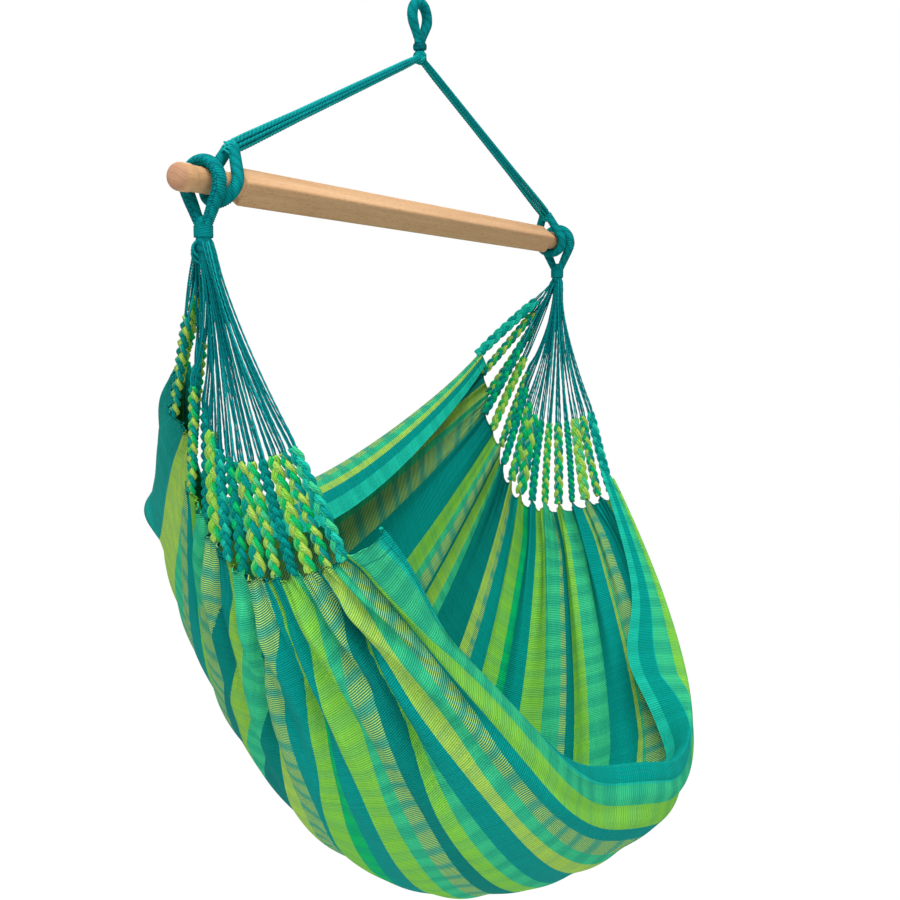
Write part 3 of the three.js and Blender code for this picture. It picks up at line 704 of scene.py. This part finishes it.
def draped(along, across):
    """The smooth cloth with its rims as they hang: by the left end the front border stands up and
    its edge lies out, further on that rim is drawn inwards, and on the right the hem leans in."""
    points = smooth_cloth(along, across)
    place = evened(along)
    beyond = np.clip((across - FRONT_RIM) / (1 - FRONT_RIM), 0, 1)
    rim_y = smooth_cloth(along, np.full_like(across, FRONT_RIM))[..., 1]
    flat_lip = hump(along, 0.02, 0.34, 4) * smoothstep(beyond, 0, 0.3)
    stand = 8 * smoothstep(-along, 0.6, 0.92)
    bulge = stand * (0.35 * smoothstep(across, 0.84, FRONT_RIM)
                     + np.sin(math.pi * beyond) ** 0.8)
    laid_out = 62 * smoothstep(-along, 0.4, 1.0) * beyond ** 0.65
    droop = 13 * hump(along, -0.6, 0.16) * beyond
    front = smoothstep(across, 0.74, 0.9)
    inward = 34 * front * hump(place, -0.27, 0.2)
    lean = 34 * hump(along, 0.38, 0.17) * smoothstep(across, 0.93, 1.0)
    lift = 12 * front * (hump(place, -0.12, 0.16) - hump(place, -0.5, 0.13))
    corner = 16 * hump(along, 0.2, 0.09) * smoothstep(across, 0.9, 1.0)
    points[..., 1] += (inward - 0.8 * bulge - laid_out + lean
                       - 0.6 * flat_lip * (points[..., 1] - rim_y))
    points[..., 2] += lift + 0.6 * bulge - droop - corner
    return points


def outward_of(along, across):
    step = 0.004
    warp = unit(draped(along + step, across) - draped(along - step, across))
    weft = unit(draped(along, across + step) - draped(along, across - step))
    return unit(np.cross(warp, weft))


def stripe_starts(along):
    """Where every stripe starts across the cloth, at places along it."""
    held = np.clip(along, STRIPE_ALONG[0], STRIPE_ALONG[-1])
    starts = through_rows(STRIPE_ALONG, STRIPE_STARTS.T, held)
    return np.maximum.accumulate(starts, axis=-1)


# Deep folds on the left side: the stripe at whose start each lies, and its depth in mm.
FOLDS = [(14, 12), (20, 11), (24, 8), (31, 14), (36, 8)]


def folds(along, across):
    """Narrow valleys that run with the stripes, each with a low ridge on both sides."""
    starts = stripe_starts(along)
    depth = 0 * across
    for stripe, deep in FOLDS:
        away = across - starts[..., stripe]
        depth += deep * hump(away, 0, 0.0085)
        depth -= 0.35 * deep * hump(np.abs(away), 0.026, 0.015)
    return depth * smoothstep(-along, 0.36, 0.7) * (1 - 0.6 * smoothstep(-along, 0.93, 1.0))


def cloth_point(along, across, lift):
    """A point of the cloth, gathered between the braids. lift is its distance from the middle
    of the cloth's thickness."""
    lane = np.clip(lanes(across), 0, BRAID_COUNT - 1)
    nearest = np.minimum(np.floor(lane).astype(int), BRAID_COUNT - 2)
    share = lane - nearest
    edge = np.abs(along)
    from_rim = np.clip(np.minimum(lane, BRAID_COUNT - 1 - lane), 0, 1)
    calm_rear = 0.25 + 0.75 * smoothstep(lane, 3.0, 7.0)

    # Between two braids the gathered edge dips.
    deep = np.where(along < 0, 0.016, 0.03)
    dip = deep * (1 - np.abs(2 * share - 1) ** 2.6) * calm_rear
    dipped = along * (1 - dip * edge ** 9)

    variety = 1 + 0.25 * np.sin(2.4 * nearest + np.where(along < 0, 0, 2.0))
    gathered = edge ** 2.4 * (1 - 0.85 * smoothstep(edge, 0.86, 1.0))
    pleat = PLEAT * variety * np.sin(math.pi * share) ** 1.3 * from_rim * gathered * calm_rear
    pucker = 1.5 * np.cos(FULL_TURN * 7 * share) * smoothstep(edge, 0.9, 1.0) * from_rim
    inner = smoothstep(across, 0.0, 0.12) * (1 - smoothstep(across, 0.9, 1.0))
    dog_ear = (12 * hump(along, -0.5, 0.014, 1.2) * hump(across, 0.175, 0.024)
               + 6 * hump(along, -0.5, 0.1) * hump(across, 0.16, 0.05)
               + 8 * hump(along, -0.85, 0.2) * hump(across, 0.13, 0.06))
    bulge = (pleat + pucker + dog_ear + ripples(along, across) * inner
             - folds(along, across) + lift)
    points = draped(dipped, across) + outward_of(dipped, across) * bulge[..., None]

    # At its end the cloth follows the layers of the braids.
    offsets = np.array([braid_offset(i) for i in range(BRAID_COUNT)])
    blend = smoothstep(share, 0, 1)
    layer = offsets[nearest] * (1 - blend) + offsets[nearest + 1] * blend
    points[..., 0] += np.sign(along) * layer * edge ** 8
    return points


def stripe_place(along, across):
    """Where a row of points of the cloth lies in the pattern of stripes."""
    return np.stack([np.interp(row, starts, STRIPE_OWN)
                     for row, starts in zip(across, stripe_starts(along[:, 0]))])


def cloth_piece(name, low, high, columns, rows, thickness, node, swell=None):
    """A closed thin shell of the cloth between two places across it. swell gives the share of
    its thickness that it has at a point."""
    along = np.linspace(-1, 1, rows)
    across = np.linspace(low, high, columns)
    grid_along, grid_across = np.meshgrid(along, across, indexing="ij")
    half = thickness / 2
    if swell is not None:
        half = half * swell(grid_along, grid_across)
    inner = cloth_point(grid_along, grid_across, -half)
    outer = cloth_point(grid_along, grid_across, half)
    middle = smooth_cloth(grid_along, grid_across)
    arc = np.concatenate([np.zeros((1, columns)), np.cumsum(
        np.linalg.norm(np.diff(middle, axis=0), axis=2), axis=0)]) * MM
    arc = arc - arc[rows // 2]
    places = np.stack([stripe_place(grid_along, grid_across), arc], -1).reshape(-1, 2)
    ends = np.abs(grid_along).reshape(-1)
    in_border = np.full_like(ends, float(node != "seat_cloth"))
    tint = np.stack([ends, in_border, 0 * ends, 0 * ends + 1], -1)
    size = rows * columns
    index = np.arange(size).reshape(rows, columns)
    a, b, c, d = index[:-1, :-1], index[:-1, 1:], index[1:, 1:], index[1:, :-1]
    front = np.stack([a, d, c, b], -1).reshape(-1, 4) + size
    back = np.stack([a, b, c, d], -1).reshape(-1, 4)
    edge = np.concatenate([index[:, 0], index[-1, 1:], index[-2::-1, -1], index[0, -2:0:-1]])
    follow = np.roll(edge, -1)
    rim = np.stack([edge, edge + size, follow + size, follow], -1)
    quads = np.concatenate([back, front, rim])
    both = np.concatenate([places, places])
    shape = Shape()
    shape.add(np.vstack([inner.reshape(-1, 3), outer.reshape(-1, 3)]), quads[:, ::-1],
              both[quads[:, ::-1]], tint=np.vstack([tint, tint]))
    return shape.piece(name, CLOTH, "seat", "cloth" if node == "seat_cloth" else "hem", node)


seat = cloth_piece("striped_seat", BACK_RIM, FRONT_RIM, 262, 184, CLOTH_THICKNESS, "seat_cloth")
back_border = cloth_piece("back_border", 0.0, BACK_RIM + OVERLAP, 34, 160, BACK_THICKNESS,
                          "back_hem")
front_border = cloth_piece(
    "front_border", FRONT_RIM - OVERLAP, 1.0, 48, 160, FRONT_THICKNESS, "front_hem",
    swell=lambda along, across: 0.49 + 0.51 * smoothstep(across, 0.93, 0.97))

# Braids and cords of the seat


def fan_core(side):
    return np.array([side * CHAIR_EYE_X, 0.0, BAR_Z - FAN_DROP])


def braid_ends(side, index):
    """A braid's foot in the cloth, its top, and the direction between them."""
    foot = smooth_cloth(np.array([float(side)]), np.array([braid_across(index)]))[0]
    aside = (side * braid_offset(index), 0, 0)
    foot = foot + aside
    along = unit(fan_core(side) + aside - foot)
    foot = foot + along * 0.6
    return foot, foot + along * BRAID_LENGTH, along


def braid(side, title, index):
    """A flat plait of three strands, each of two bundles of yarn, gathered from the cloth."""
    foot, _, along = braid_ends(side, index)
    flat = unit(np.cross(along, (1, 0, 0)))
    proud = np.cross(flat, along)
    names, half_width = BRAIDS[title][index]
    half_width = half_width * BRAID_WIDTHS[title]
    names = names.split()
    at = np.linspace(0, 1, 96)
    run = at * (BRAID_LENGTH + BRAID_TUCK) - BRAID_TUCK
    size = np.interp(at, [0, 0.06, 0.16, 0.9, 1], [0.9, 0.95, 1, 1, 0.8])
    bend = 1.6 * np.sin(math.pi * at) * math.sin(1.3 * index + 2 * side)
    strand_half = half_width * STRAND_HALF
    shape = Shape()
    for strand in range(3):
        phase = FULL_TURN * (run / (BRAID_PITCH * half_width) + strand / 3) + index
        swing = half_width * STRAND_SWING * size * (np.sin(phase) - 0.05 * np.sin(3 * phase))
        forward = 1.9 * size * np.sin(2 * phase)
        middle = (foot + along * run[:, None] + flat * (swing + bend)[:, None]
                  + proud * forward[:, None])
        aside = unit(np.cross(np.gradient(middle, axis=0), proud))
        first, second = (np.array(COLOURS[names[(strand + k) % 3]]) for k in (0, 1))
        for bundle, tint in ((-1, first), (1, first * 0.7 + second * 0.3)):
            path = middle + aside * (bundle * strand_half * 0.42 * size)[:, None]
            tube(shape, path, proud, (2.3 * size, strand_half * 0.6 * size), 10,
                 tint=YARN_TINT * tint,
                 relief=lambda arc, angle: 0.14 * np.cos(4 * angle - FULL_TURN * arc / 9))
    number = f"{title}_{index + 1:02d}"
    shape.piece(f"plait_{number}", YARN, "seat", "braid", f"braid_{number}")


def fan_cord(shape, side, title, index, centre):
    """One cord of a fan, from its core to its braid. Those of the rearmost braids open at once,
    and the others stay together at first."""
    origin = fan_core(side)
    column, row = divmod(index, 6)
    start = origin + (side * (row - 2.5) * 2.2, -(column - 5) * 1.7, 3.0)
    root = origin + (0.62 * (start - origin)[0], 0.62 * (start - origin)[1], 11)
    braid_index, place = divmod(index, CORDS_PER_BRAID)
    _, top, along = braid_ends(side, braid_index)
    beside = unit(np.cross(along, (1, 0, 0)))
    place = (place - (CORDS_PER_BRAID - 1) / 2) * BRAIDS[title][braid_index][1]
    end = top - along * 5 + beside * place * 0.34
    spread = (top + along * 10 + beside * place * 0.42
              + np.array([0.9 * math.sin(2.3 * index), 0, 0]))
    share = np.array([0.15, 0.3, 0.45, 0.6, 0.75, 0.88])[:, None]
    if braid_index <= 4:
        middle = start + (spread - start) * share
    else:
        middle = start + (centre - start) * share + (spread - centre) * share ** 1.5
    slack = np.sin(math.pi * share) * (1.5 * math.sin(1.7 * index), 1.5 * math.cos(2.9 * index), 0)
    path = curve_through([root, start, *(middle + slack), spread, end], 90)
    tint = COLOURS[("cord", "cord_light", "cord", "cord_dark", "cord_dark")[(index * 7) % 5]]
    twisted_cord(shape, path, *FAN_CORD, tint, sides=8, phase=index)


def cord_fan(side, title):
    """The cords from under the whipping to the braids; a few short loops hang beside them."""
    shape = Shape()
    tops = np.array([braid_ends(side, index)[1] for index in range(BRAID_COUNT)])
    for index in range(CORDS_PER_BRAID * BRAID_COUNT):
        fan_cord(shape, side, title, index, tops[5:].mean(axis=0))
    origin = fan_core(side)
    for loop in range(4):
        turn = math.pi * (0.14 + 0.14 * loop)
        out = np.array([side * math.cos(turn), math.sin(turn), 0.0])
        drop = 4.0 + 5.0 * (loop % 2)
        places = ((7.0, 0), (10.6, 2 + drop * 0.3), (11.4, 5.0 + drop), (8.5, 9.0 + drop),
                  (5.5, 12 + drop))
        path = curve_through([origin + (0, 0, 8.0 - down) + out * away for away, down in places],
                             36)
        twisted_cord(shape, path, *LOOSE_CORD, COLOURS["cord"], phase=loop)
    tube(shape, upright(origin, np.linspace(9.5, -2, 16)), (1, 0, 0),
         (np.linspace(7.4, 7.6, 16),) * 2, 44, tint=COLOURS["cord_dark"],
         relief=lambda arc, angle: 0.5 * np.cos(22 * angle))
    shape.piece(f"fan_cords_{title}", CORD, "seat", "cord", f"cord_fan_{title}")


def wrap_relief(pitch, depth, slant):
    """Turns of a thin cord laid side by side round a rope."""
    def height(arc, angle):
        turn = math.pi * (arc / pitch + slant * angle / FULL_TURN)
        return depth * (np.abs(np.sin(turn)) ** 0.8 - 0.5)
    return height


def chair_eye(side, title):
    """The wrapped eye that carries one end of the seat, and the winding round its neck."""
    centre = np.array([side * CHAIR_EYE_X, 0.0, BAR_Z])
    count = 620
    flat = eye_path(CHAIR_RING, CHAIR_REACH, CHAIR_LEG_HALF, count)
    path = flat * (1, -1, -1) + (0, 0, -CHAIR_SLACK) + centre
    taper = eye_taper(count, 0.8)
    shape = Shape()
    tube(shape, path, (1, 0, 0), (CHAIR_AXIAL * taper, CHAIR_RADIAL * taper), 40,
         relief=wrap_relief(2.3, 1.0, 2.0))

    # The half hitches make a ridge along the outer face of the eye.
    along = unit(np.gradient(path, axis=0))
    outward = np.array([side, 0.0, 0.0])
    radial = np.cross(along, outward)
    arc = arc_lengths(path)
    for strand in range(2):
        phase = FULL_TURN * arc / RIDGE_PITCH + math.pi * strand
        angle = 0.34 * np.sin(phase)
        height = 0.55 + 0.35 * np.cos(2 * phase)
        ridge = path + outward * ((CHAIR_AXIAL * taper + height) * np.cos(angle))[:, None] \
            + radial * ((CHAIR_RADIAL * taper + height) * np.sin(angle))[:, None]
        tube(shape, ridge[20:-20], radial[20:-20], (1.0, 1.0), 8,
             tint=COLOURS[("cord", "cord_dark")[strand]])
    neck = upright(centre, np.linspace(-NECK_TOP + 3, -NECK_BOTTOM, 60))
    tube(shape, neck, (1, 0, 0), (NECK_RADIUS * 0.98,) * 2, 40,
         relief=lambda arc, angle: 0.3 * np.cos(18 * angle))
    shape.piece(f"seat_eye_{title}", WRAP, "seat", "cord", f"chair_eye_{title}")

    shape = Shape()
    at = np.linspace(0, 1, 60 * WHIPPING_TURNS)
    turn = FULL_TURN * WHIPPING_TURNS * at
    radius = NECK_RADIUS + 0.35 + 0.85 + 0.12 * np.sin(3 * turn + 1)
    drop = WHIPPING_TOP - 1.0 + (WHIPPING_DROP + 2.2) * at + 0.5 * np.sin(turn)
    path = centre + np.stack([radius * np.cos(turn), radius * np.sin(turn), -drop], 1)
    tube(shape, path, (0, 0, 1), (0.78, 0.85), 8)
    shape.piece(f"neck_winding_{title}", WRAP, "seat", "cord_dark", f"eye_whipping_{title}")


# Suspension


def hanger(side, title):
    """The suspension's eye round the bar, its lashing, and the cords to the knot."""
    centre = np.array([side * HANGER_EYE_X, 0.0, BAR_Z])
    count = 520
    lean = np.array([-side * math.sin(HANGER_LEAN), 0.0, math.cos(HANGER_LEAN)])
    level = np.array([math.cos(HANGER_LEAN), 0.0, side * math.sin(HANGER_LEAN)])
    flat = eye_path(HANGER_RING, HANGER_REACH, HANGER_LEG_HALF, count)
    path = centre + flat[:, 1:2] * (0, 1, 0) + flat[:, 2:3] * lean
    taper = eye_taper(count, 0.95)
    shape = Shape()
    tube(shape, path, level, (HANGER_AXIAL * taper, HANGER_RADIAL * taper), 36,
         relief=wrap_relief(2.5, 1.0, 4.0))
    tip = centre + lean * HANGER_REACH

    # The lashing that ends the eye: crossed turns round its two legs, in the paler cord colour as
    # a painted highlight.
    run = np.linspace(-LASHING_HALF, LASHING_HALF, 60)
    bulk = HANGER_TIP * np.sqrt(np.clip(1 - (run / 8.2) ** 2, 0.05, 1))
    tube(shape, tip + lean * run[:, None], level, (bulk * 0.86, bulk * 0.9), 40,
         tint=COLOURS["cord_light"], relief=wrap_relief(1.9, 0.8, 3.0))
    at = np.linspace(0, FULL_TURN, 72)
    for index, tilt in enumerate((0.5, -0.55, 0.35, -0.4, 0.6)):
        shift = (index - 2) * 1.9
        reach = HANGER_TIP * 0.98 - 0.12 * abs(shift)
        ring = (tip + lean * (shift - 3.0 + tilt * reach * np.sin(at))[:, None]
                + level * (reach * np.cos(at))[:, None]
                + np.array([0, 1, 0]) * (reach * np.sin(at))[:, None])
        twisted_cord(shape, ring, *LASHING_CORD, COLOURS["cord_light"], 8)
    shape.piece(f"hanger_eye_{title}", WRAP, "suspension", "cord_dark",
                f"suspension_eye_{title}")

    # Straight cords from the lashing to the knot.
    end = np.array([0.0, 0.0, KNOT_Z])
    along = unit(end - tip)
    upward = np.cross((0, 1, 0), along)
    start = tip + along * (HANGER_TIP * 0.55)
    stop = end - along * (KNOT_RADIUS * 0.6)
    shape = Shape()
    places = [(0, 0)] + [(4.2 * math.cos(a), 4.2 * math.sin(a))
                         for a in np.linspace(0, FULL_TURN, 8, endpoint=False)]
    at = np.linspace(0, 1, 230)
    slim = np.interp(at, [0, 0.06, 0.3, 0.9, 1], [1.4, 1.45, 1.1, 0.85, 0.6])
    for index, (first, second) in enumerate(places):
        sway = 0.35 * np.sin(5 * at + index)
        path = (start + (stop - start) * at[:, None]
                + np.array([0, 1, 0]) * (first * slim + sway)[:, None]
                + upward * (second * slim)[:, None])
        tint = COLOURS[("cord", "cord_light", "cord")[index % 3]]
        twisted_cord(shape, path, *HANGER_CORD, tint, phase=index)
    shape.piece(f"hanger_cords_{title}", CORD, "suspension", "cord",
                *[f"suspension_cord_{title}_{number}" for number in range(1, 5)])


def hanging_loop():
    """The loop with its foot, the collar that binds it, and the knot under it."""
    count = 560
    flat = eye_path(LOOP_RING, LOOP_REACH, LOOP_LEG_HALF, count)
    path = np.stack([-flat[:, 1], 0 * flat[:, 0], LOOP_RING_Z - flat[:, 2]], 1)
    taper = eye_taper(count, 0.76)
    shape = Shape()
    tube(shape, path, (0, 1, 0), (LOOP_ROPE * taper * 0.95,) * 2, 40,
         relief=wrap_relief(1.5, 0.8, 1.0))
    foot = upright(np.zeros(3), np.linspace(LOOP_FOOT_Z + 14, LOOP_FOOT_Z, 60))
    leg = LOOP_ROPE * 0.76
    tube(shape, foot, (1, 0, 0), ((LOOP_LEG_HALF + leg) * 0.97, leg * 0.97), 44,
         relief=wrap_relief(1.5, 0.7, 1.0))
    shape.piece("rope_loop", WRAP, "loop", "cord", "hanging_loop")

    shape = Shape()
    drop = np.linspace(0, BINDING_HEIGHT, 70)
    collar = upright(np.zeros(3), KNOT_Z + KNOT_RADIUS + KNOT_GAP + BINDING_HEIGHT - drop)
    round_off = 0.84 + 0.16 * np.sin(math.pi * drop / BINDING_HEIGHT) ** 0.4
    tube(shape, collar, (1, 0, 0), (BINDING_RADIUS * round_off * 0.96,) * 2, 48,
         tint=COLOURS["cord_dark"], relief=wrap_relief(1.6, 0.9, 1.0))
    shape.piece("loop_collar", WRAP, "binding", "cord_dark", "loop_binding")

    shape = Shape()
    at = np.linspace(-1, 1, 90)
    core = np.array([0, 0, KNOT_Z]) + np.array([1, 0, 0]) * (at * KNOT_RADIUS * 0.96)[:, None]
    bulk = KNOT_RADIUS * np.sqrt(np.clip(1 - (at * 0.96) ** 2, 0.03, 1))
    tube(shape, core, (0, 0, 1), (bulk * 0.9, bulk * 0.9), 44,
         relief=wrap_relief(2.0, 0.9, 2.0))
    angle = np.linspace(0, FULL_TURN, 90)
    for index, lean in enumerate((0.75, -0.75, 0.3, -0.3)):
        ring = KNOT_RADIUS * 0.93 * np.stack([np.sin(angle) * math.sin(lean), np.cos(angle),
                                              np.sin(angle) * math.cos(lean)], 1)
        twisted_cord(shape, ring + (0, 0, KNOT_Z), *KNOT_CORD,
                     COLOURS[("cord_light", "cord")[index % 2]], 8)
    shape.piece("knot_turns", WRAP, "knot", "cord", "apex_knot")


# Bar


def square_outline(directions):
    """How far a square with eased edges reaches in each direction, found by halving."""
    low, high = np.zeros(len(directions)), np.full(len(directions), 40.0)
    for _ in range(40):
        middle = (low + high) / 2
        beyond = np.maximum(np.abs(directions * middle[:, None]) - (BAR_SIDE / 2 - BAR_EDGE), 0)
        outside = np.linalg.norm(beyond, axis=1) > BAR_EDGE
        high = np.where(outside, middle, high)
        low = np.where(outside, low, middle)
    return (low + high) / 2


def spreader_bar():
    """Square beech with eased edges, turned round at both ends."""
    sides = 96
    angle = np.linspace(0, FULL_TURN, sides, endpoint=False)
    directions = np.stack([np.cos(angle), np.sin(angle)], 1)
    square = square_outline(directions)
    even = SQUARE_HALF - 3.0
    shoulder = [(-1.6, 0.975), (-0.6, 0.93), (0, 0.86)]
    knob_start = BAR_HALF - KNOB_LENGTH
    turned = [(SQUARE_HALF + 0.01, SPIGOT + 0.3), (SQUARE_HALF + 0.6, SPIGOT),
              (knob_start - 2, SPIGOT), (knob_start, SPIGOT + 0.1),
              (knob_start + 2, (SPIGOT + KNOB) / 2), (knob_start + 4.5, KNOB - 0.05),
              (BAR_HALF - 14, KNOB)]
    turned += [(BAR_HALF - TIP_LENGTH * (1 - math.sin(turn)),
                KNOB - TIP_DROP * (1 - math.cos(turn)) ** 1.15)
               for turn in (math.pi / 2 * step / 12 for step in range(13))]
    end = ([(SQUARE_HALF + x, square * share) for x, share in shoulder]
           + [(x, np.full(sides, radius)) for x, radius in turned])
    rows = ([(-x, reach) for x, reach in end[::-1]]
            + [(x, square) for x in np.linspace(-even, even, 120)] + end)
    cosine, sine = math.cos(BAR_ROLL), math.sin(BAR_ROLL)
    points = []
    for x, reach in rows:
        across, up = reach * directions[:, 0], reach * directions[:, 1]
        points.append(np.stack([np.full(sides, x), across * cosine - up * sine,
                                across * sine + up * cosine + BAR_Z], 1))
    ends = rows[0][0], rows[-1][0]
    shape = Shape()
    add_rings(shape, np.array(points), np.array([[x, 0, BAR_Z] for x in ends]),
              np.array([x - ends[0] for x, reach in rows]))
    shape.piece("beech_bar", WOOD, "bar", "wood", "spreader_bar")


for title, side in SIDES.items():
    chair_eye(side, title)
    cord_fan(side, title)
    for index in range(BRAID_COUNT):
        braid(side, title, index)
    hanger(side, title)
hanging_loop()
spreader_bar()

# Floor, background and light
FLOOR_Z, FLOOR_HALF = -1.62, 9
FLOOR_GREY, FLOOR_ROUGHNESS = 0.8, 0.9
FLOOR_WHITE, FLOOR_WHITENED = 1.04, 0.9
SOFT_LIGHT = 0.85


def background_rays(n):
    """1 for the rays that show the white background: camera, glossy and transmission rays."""
    rays = n.node("LightPath").outputs
    seen = n.math("MAXIMUM", rays["Is Camera Ray"], rays["Is Glossy Ray"])
    return n.math("MAXIMUM", seen, rays["Is Transmission Ray"])


def mixed_shaders(n, share, first, second):
    return n.node("MixShader", {0: share, 1: first, 2: second}).outputs[0]


floor_mesh = bpy.data.meshes.new("floor")
floor_mesh.from_pydata([(x * FLOOR_HALF, y * FLOOR_HALF, FLOOR_Z)
                        for x, y in ((-1, -1), (1, -1), (1, 1), (-1, 1))], [], [(0, 1, 2, 3)])
floor = bpy.data.objects.new("floor", floor_mesh)
bpy.context.collection.objects.link(floor)
n = Nodes(bpy.data.materials.new("pale_floor"))
n.put((FLOOR_GREY,) * 3 + (1,), n.shader.inputs["Base Color"])
n.put(FLOOR_ROUGHNESS, n.shader.inputs["Roughness"])
white = n.node("Emission", {"Strength": FLOOR_WHITE}).outputs[0]
whitened = n.times(background_rays(n), FLOOR_WHITENED)
n.put(mixed_shaders(n, whitened, n.shader.outputs[0], white),
      n.tree.nodes["Material Output"].inputs["Surface"])
floor_mesh.materials.append(n.owner)

world = bpy.data.worlds.new("studio")
bpy.context.scene.world = world
n = Nodes(world)
n.tree.nodes.clear()
soft = n.node("Background", {"Strength": SOFT_LIGHT}).outputs[0]
seen = n.node("Background", {"Color": (1, 1, 1, 1), "Strength": 1.0}).outputs[0]
n.node("OutputWorld", {"Surface": mixed_shaders(n, background_rays(n), soft, seen)})

# Each lamp's name, place, aim, size and power.
LAMPS = [
    ("key", (-1.7, -1.1, 2.4), (0, 0, -0.7), 2.4, 138),
    ("fill", (-2.4, -0.6, 0.6), (0.2, 0, -0.8), 1.6, 20),
    ("back", (1.6, 1.8, 1.0), (0, 0, -0.7), 1.6, 22),
]
for name, place, aim, size, power in LAMPS:
    lamp = bpy.data.lights.new(name, "AREA")
    lamp.size = size
    lamp.energy = power
    holder = bpy.data.objects.new(name, lamp)
    bpy.context.collection.objects.link(holder)
    holder.location = place
    holder.rotation_euler = (Vector(aim) - Vector(place)).to_track_quat("-Z", "Y").to_euler()

bpy.context.scene.view_settings.view_transform = "Standard"
